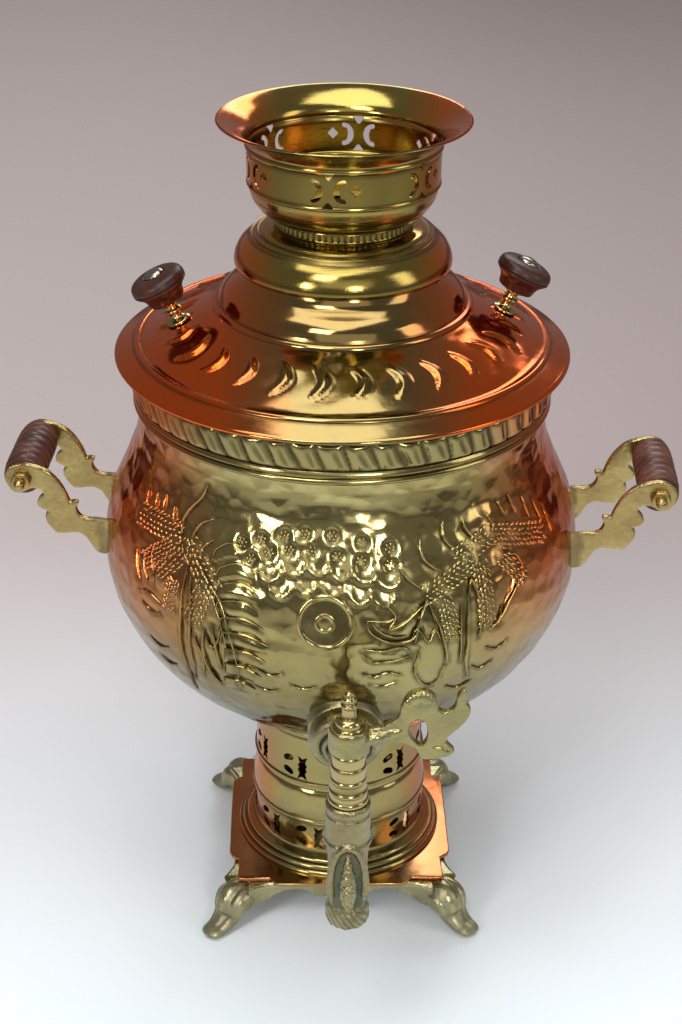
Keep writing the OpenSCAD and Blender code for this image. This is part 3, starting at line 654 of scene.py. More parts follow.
# cups and rosettes: angle and height of the middle
cups = [[-18, 264], [-12.2, 267.6], [-6.6, 268.2], [-1.2, 266.6], [4.4, 265.6], [10.2, 262.6],
        [-15.2, 257.2], [-9.2, 260.2], [-3.2, 259.4], [3.0, 256.2], [8.6, 254.6]]
rosettes = [[-26.3, 275.9], [-21.5, 279.1], [-15.7, 282.4], [-10.4, 284], [-3.7, 284], [3.7, 280.8],
            [10.6, 277.6], [-23.4, 269.6], [-19.1, 273.9], [-14.1, 276.1], [-8.5, 276.6], [-2.4, 274.6],
            [3.4, 272.6], [10.3, 270.2]]
# boughs of the two big trees: from, to, half width
boughs = [[-61, 268.5, -45, 271, 6.2], [-54, 250, -46, 264, 5.4], [-48, 247, -41, 266, 6.0],
          [-44, 231, -43, 247, 4.4], [-40.5, 268, -31, 250, 6.4], [-33.5, 252, -36.5, 232, 6.2],
          [18.5, 254, 31, 264.5, 5.4], [27, 268, 39, 274, 5.6], [38, 274, 56, 262, 6.0],
          [40, 262, 45, 247, 5.2], [33, 262, 33.5, 232, 5.6], [22.5, 250, 24.4, 230, 5.0]]
# single lines of the punch: corners by angle and height, width and height of the ridge
lines = [([[-39.7, 257], [-40.0, 245], [-40.2, 228], [-40.8, 209], [-41.3, 191], [-43, 176]], 1.7, 0.9),
         ([[-38.4, 256], [-37.4, 236], [-37.8, 218], [-38.3, 200], [-40, 188]], 1.4, 0.7),
         ([[-36.6, 259.6], [-29.9, 248], [-26.9, 232], [-25.2, 214], [-25.6, 196]], 1.8, 0.9),
         ([[-35.4, 258], [-31.4, 247], [-28.6, 232], [-27.2, 216]], 1.3, 0.7),
         ([[-33.4, 228], [-34.2, 214], [-33, 201], [-31, 194]], 1.6, 0.8),
         ([[-31.2, 232], [-30.2, 218], [-29.4, 206]], 1.6, 0.8),
         ([[-33.2, 226], [-31.6, 219], [-29.8, 224], [-28.8, 233]], 1.3, 0.7),
         ([[-36.2, 222], [-34.6, 210], [-35.6, 196]], 1.5, 0.7),
         ([[-39, 298], [-40.4, 291], [-43.6, 283], [-44.9, 276], [-44, 271]], 1.6, 0.9),
         ([[-35.2, 283], [-38.8, 279], [-40.3, 272], [-39.4, 266]], 1.6, 0.9),
         ([[-34.6, 273], [-36.4, 269], [-36.7, 264]], 1.4, 0.8), ([[-61.3, 280], [-60, 273]], 1.2, 0.7),
         ([[-57, 282], [-56, 274]], 1.2, 0.7), ([[-53.4, 284], [-52.6, 275]], 1.3, 0.7),
         ([[-49, 281], [-48, 274]], 1.5, 0.8), ([[-58, 252], [-56.4, 243], [-55, 238]], 1.2, 0.7),
         ([[-55, 254], [-53.4, 246], [-52, 240]], 1.3, 0.7),
         ([[-52.2, 256], [-50.4, 249], [-49.6, 241]], 1.3, 0.7),
         ([[-47, 232], [-52, 234], [-56, 231]], 1.3, 0.6), ([[-47, 226], [-50, 224], [-54, 226]], 1.3, 0.6),
         ([[18.4, 280], [18.0, 275], [19.2, 269], [22.6, 263.4]], 2.0, 1.0),
         ([[25.2, 286], [24.6, 280], [25.6, 275], [28.2, 271]], 2.0, 1.0),
         ([[31, 286], [31, 281], [32.6, 276], [36, 272]], 1.9, 1.0), ([[38.4, 283], [40, 277]], 1.3, 0.7),
         ([[43, 287], [44.6, 279]], 1.3, 0.7), ([[47.6, 287], [48.8, 277]], 1.4, 0.7),
         ([[52.8, 283], [53.4, 271]], 1.3, 0.7), ([[57, 278], [58, 266]], 1.2, 0.7),
         ([[60.4, 270], [60.8, 258]], 1.2, 0.7),
         ([[30.0, 256], [31.6, 246], [31.9, 235], [31, 224]], 1.6, 0.9),
         ([[28.7, 250], [28.2, 231], [28.5, 211], [30, 199]], 1.8, 0.9),
         ([[26.6, 246], [26.4, 228], [26.8, 212]], 1.3, 0.7),
         ([[28.9, 250], [30, 256.5], [31.4, 250]], 1.5, 0.8),
         ([[18.4, 252], [16.2, 241], [15.3, 230]], 1.6, 0.9),
         ([[18.4, 252], [20.9, 238], [22.8, 222], [23.2, 214]], 1.8, 0.9),
         ([[16.9, 245], [18.6, 250], [20.0, 240]], 1.0, 0.6),
         ([[14.3, 231], [15.7, 238], [18.4, 229.4], [20, 235.4], [21.4, 229]], 1.5, 0.8),
         ([[4.4, 244], [5.3, 238], [9.3, 232.2], [14.2, 232], [16.2, 237]], 1.6, 0.9),
         ([[5.6, 243.4], [6.6, 239.4], [9.8, 235], [13.4, 234.6]], 1.1, 0.6),
         ([[4.4, 244.4], [9, 243.4], [10.8, 245]], 1.3, 0.7),
         ([[8.8, 252], [10.9, 245.6], [9.3, 239.4], [12.4, 241.2], [17.2, 249]], 1.6, 0.9),
         ([[3.6, 227], [5.4, 221.6], [9.9, 220.6], [14, 223]], 1.5, 0.7),
         ([[3.8, 229], [8, 227.4], [12.6, 228.4], [14.6, 224]], 1.3, 0.6),
         ([[16.4, 226], [15.4, 214], [17.4, 204], [20.6, 199]], 1.4, 0.6),
         ([[22.6, 212], [21.8, 204], [19.8, 199]], 1.4, 0.6),
         ([[41.6, 262], [44.6, 259], [45.6, 250], [43.4, 244]], 1.6, 0.9),
         ([[39.6, 258], [42.4, 256], [42.0, 247], [38.6, 238]], 1.4, 0.8),
         ([[44.4, 247], [40, 238], [36.4, 228]], 1.4, 0.8),
         ([[37.8, 238], [37.0, 230], [34.4, 227]], 1.4, 0.7),
         ([[12.4, 268], [14.6, 262], [17.6, 257]], 1.3, 0.7),
         ([[-22.6, 262], [-20, 265], [-18.4, 262]], 1.2, 0.7),
         ([[3.6, 214], [6.4, 211.6], [9.2, 213.6], [12.2, 211.4]], 1.2, 0.5),
         ([[5.4, 206.4], [8.4, 204.4], [11.4, 206.6]], 1.1, 0.5),
         ([[24.6, 196], [28, 192.4], [32, 194.6]], 1.2, 0.5),
         ([[30.6, 206], [33.4, 202.6], [36.6, 205]], 1.2, 0.5),
         ([[34, 216], [37, 212.8], [40.4, 215.4]], 1.2, 0.5),
         ([[-20.6, 212], [-17.4, 209.4], [-14.2, 211.8]], 1.1, 0.45),
         ([[-22.4, 200], [-19, 197.4], [-15.6, 200]], 1.1, 0.45),
         ([[-12.6, 204.6], [-9.8, 202.4], [-7.0, 204.8]], 1.0, 0.45),
         ([[-46, 205], [-49.6, 202], [-53.4, 205]], 1.2, 0.5),
         ([[-45.4, 193], [-48.8, 190.4], [-52, 193]], 1.2, 0.5)]


bough_r = 122
line_r = 124
leaf_bow = 3.4
leaf_half = 4.6


def from_line(x, y, corners):
    """Distance in mm of many points from a line drawn through corners."""
    best = np.full(x.shape, 1e6)
    for (x0, y0), (x1, y1) in zip(corners, corners[1:]):
        size = max((x1 - x0) ** 2 + (y1 - y0) ** 2, 1e-9)
        t = np.clip(((x - x0) * (x1 - x0) + (y - y0) * (y1 - y0)) / size, 0, 1)
        best = np.minimum(best, np.hypot(x - x0 - t * (x1 - x0), y - y0 - t * (y1 - y0)))
    return best


def hump(distance, at, reach):
    """1 where the distance is at, fading out within a reach to both sides."""
    return np.exp(-((distance - at) / reach) ** 2)


def pressed(angle, z, r):
    """How far the chasing lifts each point of the skin, in mm, and how dark it is painted there: old polish
    in the chasing, and painted shadow under each leaf.
    """
    near = (angle + 180) % 360 - 180
    near = np.where(np.abs(near) > 100, angle % 360 - 180, near)
    lift = np.zeros(near.shape)
    low = np.zeros(near.shape)
    for turn, height, long, lean in leaf_stack:
        x, y = np.radians(near - turn) * r, z - height
        share = np.clip(x / long, 0, 1)
        bow = leaf_bow * np.sin(np.pi * share) + math.tan(math.radians(lean * 0.5)) * x
        wide = leaf_half * np.sin(np.pi * np.minimum(share * 0.86 + 0.14, 1)) ** 0.7 + 0.01
        off = (y - bow + 1.4) / wide
        inside = (np.abs(off) < 1) & (x >= 0) & (x <= long)
        lift += np.where(inside, 1.9 * (1 - off * off) * (0.65 - 0.35 * off), 0)
        # Painted shadow: a dark band just under the lower edge of each leaf.
        low += np.where((x > -0.5) & (x < long + 0.5), 0.9 * hump(off, -1.15, 0.22), 0)
    for turn, height in cups:
        x, y = np.radians(near - turn) * r, z - height - 2.4
        away = np.hypot(x, y)
        below = np.clip(0.5 - y * 0.42, 0, 1)
        lift += 1.25 * hump(away, 5.4, 0.9) * below - 0.5 * hump(away, 0, 3.4)
        low += 0.6 * hump(away, 3.9, 0.8) * np.clip(0.6 - y * 0.42, 0, 1)
        low += 0.7 * hump(away, 6.9, 0.6) * below
    for turn, height in rosettes:
        away = np.hypot(np.radians(near - turn) * r, z - height)
        lift += 0.45 * hump(away, 4.6, 0.8) - 0.9 / (1 + (away / 3.6) ** 8)
        low += 0.85 / (1 + (away / 3.9) ** 10)
    for turn, height, end_turn, end_height, wide in boughs:
        end = (math.radians(end_turn - turn) * bough_r, end_height - height)
        away = from_line(np.radians(near - turn) * r, z - height, [(0, 0), end])
        lift += np.where(away < wide, 0.6 * (1 - (away / wide) ** 3), 0)
        low = np.maximum(low, np.where(away < wide + 0.6, 0.5, 0))
    for corners, wide, high in lines:
        turn, height = corners[0]
        path = [(math.radians(a - turn) * line_r, h - height) for a, h in eased(corners, 3)]
        away = from_line(np.radians(near - turn) * np.minimum(r, line_r), z - height, path)
        lift -= 0.4 * hump(away, 0, wide * 1.6)
        low += 0.9 * hump(away, wide * 0.75, wide * 0.55)
    wave = np.sin(angle * 0.23 + z * 0.31) + np.sin(angle * 0.41 - z * 0.17 + 2)
    wave += np.sin(angle * 0.13 + z * 0.53 + 4)
    return lift + 0.10 * wave, np.clip(low, 0, 1)


def coarse_inside(line, thickness, every):
    """A sheeted line that keeps only some of the corners on its inner side, where no chasing needs them."""
    shell = sheeted(line, thickness)
    return shell[:len(line)] + shell[len(line):-1:every] + shell[-1:]


skin = turned("belly_skin", coarse_inside(skin_line, 1.2, 5), steps=480)
spots = corners_of(skin)
heights = np.array([h for r, h in skin_line])
reach = np.interp(spots[:, 2], heights, [r for r, h in skin_line])
outward = np.interp(spots[:, 2], heights, [skin_at(h)[1] for h in heights])
upward = np.interp(spots[:, 2], heights, [skin_at(h)[2] for h in heights])
now = np.hypot(spots[:, 0], spots[:, 1])
plain_edge = 6
chased = (now > reach - 0.3) & (spots[:, 2] > belly_z + plain_edge) & (spots[:, 2] < mouth_z - plain_edge)
lift, low = pressed(np.degrees(np.arctan2(spots[:, 0], -spots[:, 1])), spots[:, 2], reach)
lift = np.where(chased, lift, 0)
spots[:, :2] *= (1 + outward * lift / now)[:, None]
spots[:, 2] += upward * lift
reshaped(skin, spots, np.where(chased, low, 0))
# Its upper sides get a painted orange-red reflection of the room, and its colour grows darker towards the
# bottom of the belly.
belly_metal = sheet_brass("sheet_brass_belly", (0.48, 0.41, 0.17), (0.34, 0.24, 0.085), (0.10, 0.08, 0.035),
                          0.85, 0.12, 0.0012, 0.5, ((0.88, 0.16, 0.025), 0.060, 0.108, 0.205, 0.262),
                          0.0006, (0.165, 0.250))
fitted(smooth(skin, 60), "urn", "sheet_brass", belly_metal, "belly")


ridge_section = ((-1.0, 0), (-0.62, 0.62), (-0.2, 0.96), (0.2, 0.96), (0.62, 0.62), (1.0, 0), (0, -0.3))


def ridge(corners, wide, high):
    """One line of the punch: a ridge that swells in its middle and runs out at both ends."""
    path = eased(corners, max(2, int(15 / len(corners))))
    points = [on_skin(a, z, 0.25) for a, z in path]
    rings = []
    for i, p in enumerate(points):
        ahead = points[min(i + 1, len(points) - 1)] - points[max(i - 1, 0)]
        _, out, up = skin_at(path[i][1])
        turn = math.radians(path[i][0])
        face = Vector((out * math.sin(turn), -out * math.cos(turn), up))
        side = ahead.cross(face).normalized()
        swell = max(math.sin(math.pi * (i + 0.35) / (len(points) - 0.3)), 0.06) ** 0.55
        rings.append([p + side * (wide * 0.5 * s * swell) + face * (high * h * swell - 0.5)
                      for s, h in ridge_section])
    return drawn("ridge", rings)


ridges = [ridge(corners, wide * 1.05, high * 1.9) for corners, wide, high in lines]
for turn, height, long, lean in leaf_stack:
    r = skin_at(height)[0]
    edge = [[turn + math.degrees(-1.2 / r), height - 4.6]]
    for k in range(7):
        x = long * (k / 6)
        bow = leaf_bow * math.sin(math.pi * (k / 6)) + math.tan(math.radians(lean * 0.5)) * x
        edge.append([turn + math.degrees(x / r), height + bow + 2.2])
    ridges.append(ridge(edge, 1.5, 1.9))
front = joined(ridges, "ridges")
chasing = smooth(joined([front, copied(front, "ridge", spun(180))], "chased_lines"), 70)
scored(chasing, lambda p: 0.0)
fitted(chasing, "urn", "sheet_brass", belly_metal)


def sown(name, seed, places):
    """One small stamped shape, repeated at many places of the skin as a single piece."""
    corners, faces = [], []
    count = len(seed.data.vertices)
    for place in places:
        start = len(corners)
        corners += [place @ v.co for v in seed.data.vertices]
        faces += [[start + i for i in p.vertices] for p in seed.data.polygons]
    mesh = bpy.data.meshes.new(name)
    mesh.from_pydata(corners, [], faces)
    made = bpy.data.objects.new(name, mesh)
    bpy.context.scene.collection.objects.link(made)
    bpy.data.objects.remove(seed)
    return made


def stamp_place(angle, z, lift=0.0, twist=0.0, size=(1, 1, 1)):
    """Stands a stamp on the skin: its own Z points out of the belly, its own Y up it."""
    _, out, up = skin_at(z)
    turn = math.radians(angle)
    face = Vector((out * math.sin(turn), -out * math.cos(turn), up))
    side = Vector((math.cos(turn), math.sin(turn), 0))
    rise = face.cross(side)
    stand = Matrix((side, rise, face)).transposed().to_4x4()
    spot = Matrix.Translation(on_skin(angle, z, lift) * mm)
    return spot @ stand @ Matrix.Rotation(twist, 4, "Z") @ Matrix.Diagonal((*size, 1))


# hatching: short strokes of a straight punch, in rows across each bough
stroke_section = ((-0.62, 0), (-0.26, 0.62), (0.26, 0.62), (0.62, 0))
chisel = drawn("chisel", [[(x * s, -1.35 + 2.7 * t, z * s - 0.25) for x, z in stroke_section]
                          for t, s in ((0, 0.25), (0.22, 0.9), (0.78, 1), (1, 0.25))])
places = []
for turn, height, end_turn, end_height, wide in boughs:
    r = skin_at((height + end_height) / 2)[0]
    run = Vector((math.radians(end_turn - turn) * r, end_height - height))
    aside = Vector((-run.y, run.x)).normalized()
    rows = int(run.length / 3.1)
    for i in range(rows + 1):
        for j in range(-2, 3):
            off = j * wide * 0.40 + random.uniform(-0.3, 0.3)
            far = (i + random.uniform(-0.18, 0.18) + (j % 2) * 0.5) * run.length / max(rows, 1)
            spot = run.normalized() * far + aside * off
            twist = math.atan2(aside.y, aside.x) + random.uniform(-0.25, 0.25) + (0.5 if j > 0 else -0.3)
            size = random.uniform(0.75, 1.1)
            stroke = (size * 1.25, size * 1.3, 2.3)
            for half in (0, 180):
                angle = turn + half + math.degrees(spot.x / r)
                places.append(stamp_place(angle, height + spot.y, 0.42, twist, stroke))
hatching = smooth(sown("chased_hatching", chisel, places), 70)
scored(hatching, lambda p: 0.0)
fitted(hatching, "urn", "sheet_brass", belly_metal)

# rosettes: a six-leaved flower in each round pit
fresh()
bpy.ops.mesh.primitive_ico_sphere_add(subdivisions=1, radius=1)
petal = bpy.context.object
dots = [moved(petal, Matrix.Diagonal((0.8 * mm, 0.8 * mm, 0.75 * mm, 1)))]
for k in range(6):
    turn = Matrix.Rotation(k * math.pi / 3, 4, "Z")
    place = turn @ Matrix.Translation((0, 2.0 * mm, 0)) @ Matrix.Diagonal((1.0, 1.25, 0.9, 1))
    dots.append(copied(dots[0], "petal", place))
flower = joined(dots, "flower")
places = [stamp_place(turn + half, height, -0.35, random.uniform(0, 1))
          for turn, height in rosettes for half in (0, 180)]
flowers = sown("chased_rosettes", flower, places)
scored(smooth(flowers, 80), lambda p: 0.0)
fitted(flowers, "urn", "sheet_brass", belly_metal)

# The round boss above the tap. It is left bare: a rim, an inner ring and a plain ground between them.
roundel_z = wide_z + 18
roundel_turn = -4.8
boss_line = eased([[0, -0.9], [3.4, -0.9], [3.4, -0.9], [3.4, 0.5], [4.4, 0.85], [5.4, 0.5], [6.0, 0.3],
                   [11.2, 0.3], [12.0, 0.6], [12.8, 1.25], [13.6, 1.3], [14.5, 0.7], [14.6, -0.9],
                   [14.6, -0.9], [0, -0.9]], 3)
boss_line = [p for p in boss_line if p[0] >= 3.4][1:-1]
boss_line = [[0, 0.75], [1.6, 0.7], [2.8, 0.45]] + boss_line + [[14.5, -0.9], [0, -0.9]]
at_roundel = stamp_place(roundel_turn, roundel_z, 0.15)
boss = turned("roundel", boss_line, 72, at_roundel)
for v in boss.data.vertices:
    x, y, z = v.co.x / mm, v.co.y / mm - middle, v.co.z / mm
    flat_face = at_roundel.inverted() @ v.co
    v.co = on_skin(math.degrees(math.atan2(x, -y)), z, flat_face.z / mm + 0.15) * mm


def polish_left(p):
    """Old polish fills the ground of the boss, between its rim and its inner ring."""
    out = math.hypot(*(stamp_place(roundel_turn, roundel_z).inverted() @ p).xy) / mm
    return 0.85 * held((out - 4.9) / 0.6) * held((12.3 - out) / 0.6)


scored(boss, polish_left)
fitted(smooth(boss, 50), "urn", "sheet_brass", belly_metal)

# ---------------------------------------------------------------- collar
# The ring that stiffens the mouth, rolled from strip: a bead at its foot, a band of slanting gadroons pressed
# out between two edges, and a double bead on top. It is soldered to the belly, and the lid rests on its lip.
collar_z = mouth_z + 0.2
collar_h = 30
collar_foot = [[0.6, 0], [1.9, 0.8], [2.4, 2.0], [1.9, 3.2], [1.0, 3.8], [1.0, 3.8], [1.6, 4.4], [2.2, 5.4],
               [1.8, 6.6], [1.3, 7.4], [1.3, 7.4]]
collar_band = [[1.4 + 2.0 * k / 18, 7.6 + 15.2 * k / 18] for k in range(19)]
collar_top = [[3.5, 23.2], [3.8, 24.4], [4.6, 25.2], [4.9, 26.2], [4.2, 27.3], [3.8, 27.8], [3.8, 27.8],
              [3.8, 28.6], [3.4, 29.4], [2.8, 30]]
collar_line = eased(along(collar_foot + collar_band[:1], mouth_r, collar_z), 3)[:-1]
collar_line += along(collar_band[:-1], mouth_r, collar_z)
collar_line += eased(along(collar_band[-1:] + collar_top, mouth_r, collar_z), 3)
collar = turned("collar_ring", coarse_inside(collar_line, 1.4, 4), steps=720)
gadroons = 54
spots = corners_of(collar)
now = np.hypot(spots[:, 0], spots[:, 1])
up = spots[:, 2] - collar_z
angle = np.degrees(np.arctan2(spots[:, 0], -spots[:, 1]))
at = np.clip((up - 15.2) / 7.7, -1, 1)
share = (angle * gadroons / 360 + 0.17 * np.sin(at * 1.5) + 0.05 * np.sin(np.radians(angle) * 40)) % 1
edge = 1 - at ** 6
swell = 1 - np.abs(2 * share - 1) ** 2.6
fold = hump(share, 0.62, 0.09) * np.clip(1 - (at * 1.25) ** 4, 0, 1)
banded = (up > 7.5) & (up < 23.1) & (now > mouth_r + 0.7 + 2.0 * (up - 7.6) / 15.2)
push = np.where(banded, edge * (2.1 * swell - 0.9 * fold) - 0.7, 0)
gap = hump(np.minimum(share, 1 - share), 0, 0.09)
low = np.where(banded, edge * (gap + 0.6 * fold) + (1 - edge) * 0.7, 0)
spots[:, :2] *= (1 + push / now)[:, None]
reshaped(collar, spots, low)
# Its sides get a painted orange-red reflection of the room.
collar_metal = sheet_brass("sheet_brass_collar", (0.32, 0.27, 0.11), (0.25, 0.18, 0.065),
                           (0.055, 0.04, 0.018), 0.8, 0.12, 0.0006, 0.5, ((0.80, 0.16, 0.03), 0.066, 0.106))
fitted(smooth(collar, 55), "urn", "sheet_brass", collar_metal, "collar")

# ---------------------------------------------------------------- floor, fire tube and grate
# What the fire and the water hide. The floor is a tinned ring that closes the belly round the fire tube. The
# tube is sheet brass, burnt brown and sooty inside, and the grate at its foot is rough iron.


def dressed(node, material):
    """A piece that keeps the plain CAD shape and gets its finish."""
    piece = frame["nodes"][node]
    piece.data.materials.clear()
    piece.data.materials.append(material)
    smooth(piece, 35)


soot = Finish("sooty_brass")
smoke = soot.between(soot.cloud(60, 6, 0.7), 0.36, 0.66)
flakes = soot.cloud(900, 3, 0.6)
soot.set(Base_Color=soot.mixed(smoke, (0.30, 0.20, 0.08), (0.035, 0.026, 0.02)), Metallic=1.0 - smoke * 0.7,
         Roughness=0.42 + smoke * 0.4, Normal=soot.bumped(smoke + flakes * 0.3, 0.0002))
tinned = Finish("tinned_brass")
scale_lime = tinned.between(tinned.cloud(70, 5, 0.65), 0.45, 0.7)
tinned.set(Base_Color=tinned.mixed(scale_lime, (0.46, 0.44, 0.40), (0.62, 0.58, 0.50)),
           Metallic=1.0 - scale_lime * 0.8, Roughness=0.35 + scale_lime * 0.4,
           Normal=tinned.bumped(scale_lime, 0.00015))
iron = Finish("burnt_iron")
rust = iron.between(iron.cloud(120, 6, 0.7), 0.4, 0.65)
iron.set(Base_Color=iron.mixed(rust, (0.055, 0.05, 0.048), (0.20, 0.085, 0.04)), Metallic=0.9 - rust * 0.8,
         Roughness=0.55 + rust * 0.3, Normal=iron.bumped(rust + iron.cloud(700, 3, 0.6) * 0.5, 0.0004))
dressed("belly_floor", tinned.material)
dressed("fire_tube", soot.material)
dressed("crown_sleeve", soot.material)
dressed("grate", iron.material)

# ---------------------------------------------------------------- lid
# A loose cone of spun sheet with a rolled rim, a raised bead near its edge and a neck that turns up round the
# fire tube. A ring of commas is chased round the slope, each with a fine line beside it.
lid_r = 120
lid_slope = math.radians(25.2)
lid_k = math.tan(lid_slope)
lid_sheet = 1.2
lid_z = collar_z + collar_h + 0.3 + lid_sheet / math.cos(lid_slope) - (lid_r - mouth_r - 3.8) * lid_k
cone_r = 68.5
cone_z = lid_z + (lid_r - cone_r) * lid_k


lift_out = 0.43
lift_up = 0.9


def on_cone(r, lift=0.0):
    """A point of the lid's section, by its radius and how far it stands off the slope, in mm."""
    return [r + lift * lift_out, lid_z + (lid_r - r) * lid_k + lift * lift_up]


bead = [[109.8, 0], [109.8, 0], [109.2, 0.75], [108.0, 1.25], [106.8, 0.75], [106.2, 0.1], [106.2, 0.1]]
slope = [on_cone(106.0 - 1.5 * k) for k in range(1, 25)]
neck = [[0, 0], [0, 0], [-0.4, 1.5], [-1.6, 2.6], [-3.1, 2.9], [-3.1, 2.9], [-3.4, 3.7], [-4.0, 5.0],
        [-6.0, 8.3], [-9.1, 11.4], [-12.6, 14.0], [-15.5, 16.6], [-17.3, 19.8], [-18.0, 22.8],
        [-19.5, 24.2], [-22, 24.6], [-38, 24.6]]
rim = [[lid_r - 0.9, lid_z - 2.2], [lid_r - 0.1, lid_z - 1.4], [lid_r - 0.15, lid_z - 0.3],
       on_cone(lid_r - 1.2), on_cone(lid_r - 2), on_cone(lid_r - 2), on_cone(111)]
lid_line = eased(rim + [on_cone(r, h) for r, h in bead], 4)[:-1]
lid_line += slope[:-1] + eased([slope[-1]] + along(neck, cone_r, cone_z), 4)
lid = turned("lid_sheet", coarse_inside(lid_line, lid_sheet, 3), steps=480)
commas = 28
spots = corners_of(lid)
now = np.hypot(spots[:, 0], spots[:, 1])
angle = np.degrees(np.arctan2(spots[:, 0], -spots[:, 1])) + 2.5
top = lid_z + (lid_r - now) * lid_k
turn = np.radians(angle % (360 / commas) - 180 / commas) * now
at = np.clip((now - 87) / 9.6, -1, 1)
width = 2.7 * (1 - at ** 2) ** 0.5 + 0.01
off = turn - 2.6 + at ** 2 * 6.6
line = hump(off - width, 1.2, 0.55) * (1 - at ** 4)
inside = (np.abs(off) < width) & (width > 0.06)
push = np.where(inside, 1.5 * (1 - (off / width) ** 2) * (1 - at ** 4), 0) - 0.45 * line
ripple = np.sin(np.radians(angle) * 20 + now * 0.4) + np.sin(np.radians(angle) * 11 - now * 0.27)
push += 0.05 * ripple
round_edge = (np.abs(off) > 0.75 * width) & (np.abs(off) < 1.1 * width) & (width > 1)
low = 0.8 * line + np.where(round_edge, 0.6, 0)
sloping = (now > cone_r + 2) & (now < 105) & (spots[:, 2] > top - 0.4)
push = np.where(sloping, push, 0)
groove = np.where(spots[:, 2] > top - 0.5, np.minimum(np.abs(now - 110.2), np.abs(now - 105.8)), 9)
low = np.maximum(np.where(sloping, low, 0), 0.8 * hump(groove, 0, 0.7))
low = np.maximum(low, 0.7 * hump(spots[:, 2] - cone_z, 3.3, 0.6))
spots[:, :2] *= (1 + push * lift_out / now)[:, None]
spots[:, 2] += push * lift_up
reshaped(lid, spots, low)
# Its sides get a painted orange-red reflection of the room.
lid_metal = sheet_brass("sheet_brass_lid", (0.245, 0.195, 0.075), (0.31, 0.17, 0.055), (0.09, 0.05, 0.02),
                        0.5, 0.08, 0.0002, 0.3, ((0.95, 0.145, 0.018), 0.024, 0.062))
fitted(smooth(lid, 50), "lid_body", "sheet_brass", lid_metal, "lid")
dressed("lid_spigot", belly_metal)

# ---------------------------------------------------------------- lid knobs
# Two turned knobs of dark varnished wood. Each sits on a brass stem that goes through the lid to a nut, and
# has a small domed metal cap let into its top.
seat_r = 85.6
seat_z = lid_z + (lid_r - seat_r) * lid_k


def at_knob(side):
    """The place of a knob: Z out of the slope of the lid, on the left or on the right."""
    turn = Matrix.Rotation(math.radians(5 if side > 0 else 185), 4, "Z")
    seat = Matrix.Translation((seat_r * mm, 0, seat_z * mm))
    return at_middle @ turn @ seat @ Matrix.Rotation(lid_slope, 4, "Y")


def polished_wood(name, dark, light, grain, gloss):
    """Turned beech, stained nearly black and varnished; the brown shows where the varnish is thin."""
    f = Finish(name)
    rings = f.cloud(46, 5, 0.6, grain)
    streaks = f.between(f.cloud(300, 3, 0.6, grain), 0.35, 0.7)
    thin = f.between(f.cloud(55, 4, 0.6), 0.5, 0.72)
    colour = f.mixed(f.between(rings, 0.4, 0.65) * 0.55 + thin * 0.35, dark, light)
    low = f.valley()
    colour = f.mixed(low * 0.8, colour, tuple(0.3 * c for c in dark))
    bump = f.bumped(streaks * 0.5 + f.cloud(240, 3, 0.6) * 0.6, 0.00008)
    return f.set(Base_Color=colour, Roughness=gloss + thin * 0.16 + low * 0.2, Specular_IOR_Level=0.32,
                 Coat_Weight=0.05, Coat_Roughness=0.2, Normal=bump)


golden = sheet_brass("golden_brass_turned", (0.44, 0.37, 0.16), (0.40, 0.28, 0.11), (0.16, 0.12, 0.05),
                     0.4, 0.12, 0.0001, 0.9)
wood = polished_wood("dark_wood_knobs", (0.030, 0.009, 0.006), (0.085, 0.026, 0.014), (1, 1, 0.3), 0.36)
cap_metal = Finish("knob_cap_metal")
scuff = cap_metal.between(cap_metal.cloud(400, 4, 0.6), 0.4, 0.7)
cap_metal.set(Base_Color=cap_metal.mixed(scuff, (0.42, 0.36, 0.31), (0.28, 0.23, 0.19)), Metallic=1.0,
              Roughness=0.14 + scuff * 0.2, Normal=cap_metal.bumped(scuff, 0.00004))
stem_line = eased([[0, -6.4], [0, -6.4], [2.0, -6.4], [2.0, -6.4], [2.0, 0.3], [2.0, 0.3], [6.2, 0.3],
                   [6.7, 0.8], [6.6, 1.4], [5.4, 2.2], [3.7, 3.0], [3.1, 4.2], [3.0, 5.2], [3.4, 6.0],
                   [3.4, 6.0], [4.5, 6.5], [4.9, 7.2], [4.5, 8.0], [3.5, 8.6], [3.5, 8.6], [3.2, 9.6],
                   [3.4, 10.8], [4.4, 11.4], [5.3, 11.7], [5.3, 12.9], [5.3, 12.9], [2.4, 12.9],
                   [2.4, 12.9], [2.4, 22], [2.4, 22], [0, 22]], 2)
knob_line = eased([[0, 22.3], [0, 22.3], [2.7, 22.3], [2.7, 22.3], [2.7, 13.1], [2.7, 13.1], [8.4, 13.1],
                   [9.5, 13.7], [9.9, 14.8], [10.2, 16.2], [10.9, 18.0], [12.3, 19.8], [14.0, 21.3],
                   [14.6, 22.0], [14.7, 22.5], [14.2, 23.0], [14.2, 23.0], [14.8, 23.6], [14.6, 25.4],
                   [13.9, 26.9], [12.4, 28.0], [10.4, 28.7], [8.0, 29.1], [6.4, 29.1], [5.8, 28.7],
                   [5.8, 28.7], [5.8, 26.9], [5.8, 26.9], [0, 26.9]], 3)
cap_line = eased([[0, 27.1], [0, 27.1], [5.5, 27.1], [5.5, 27.1], [5.5, 29.0], [5.2, 29.7], [4.2, 30.6],
                  [2.4, 31.3], [0, 31.5]], 3)
knob_groove = 23.0
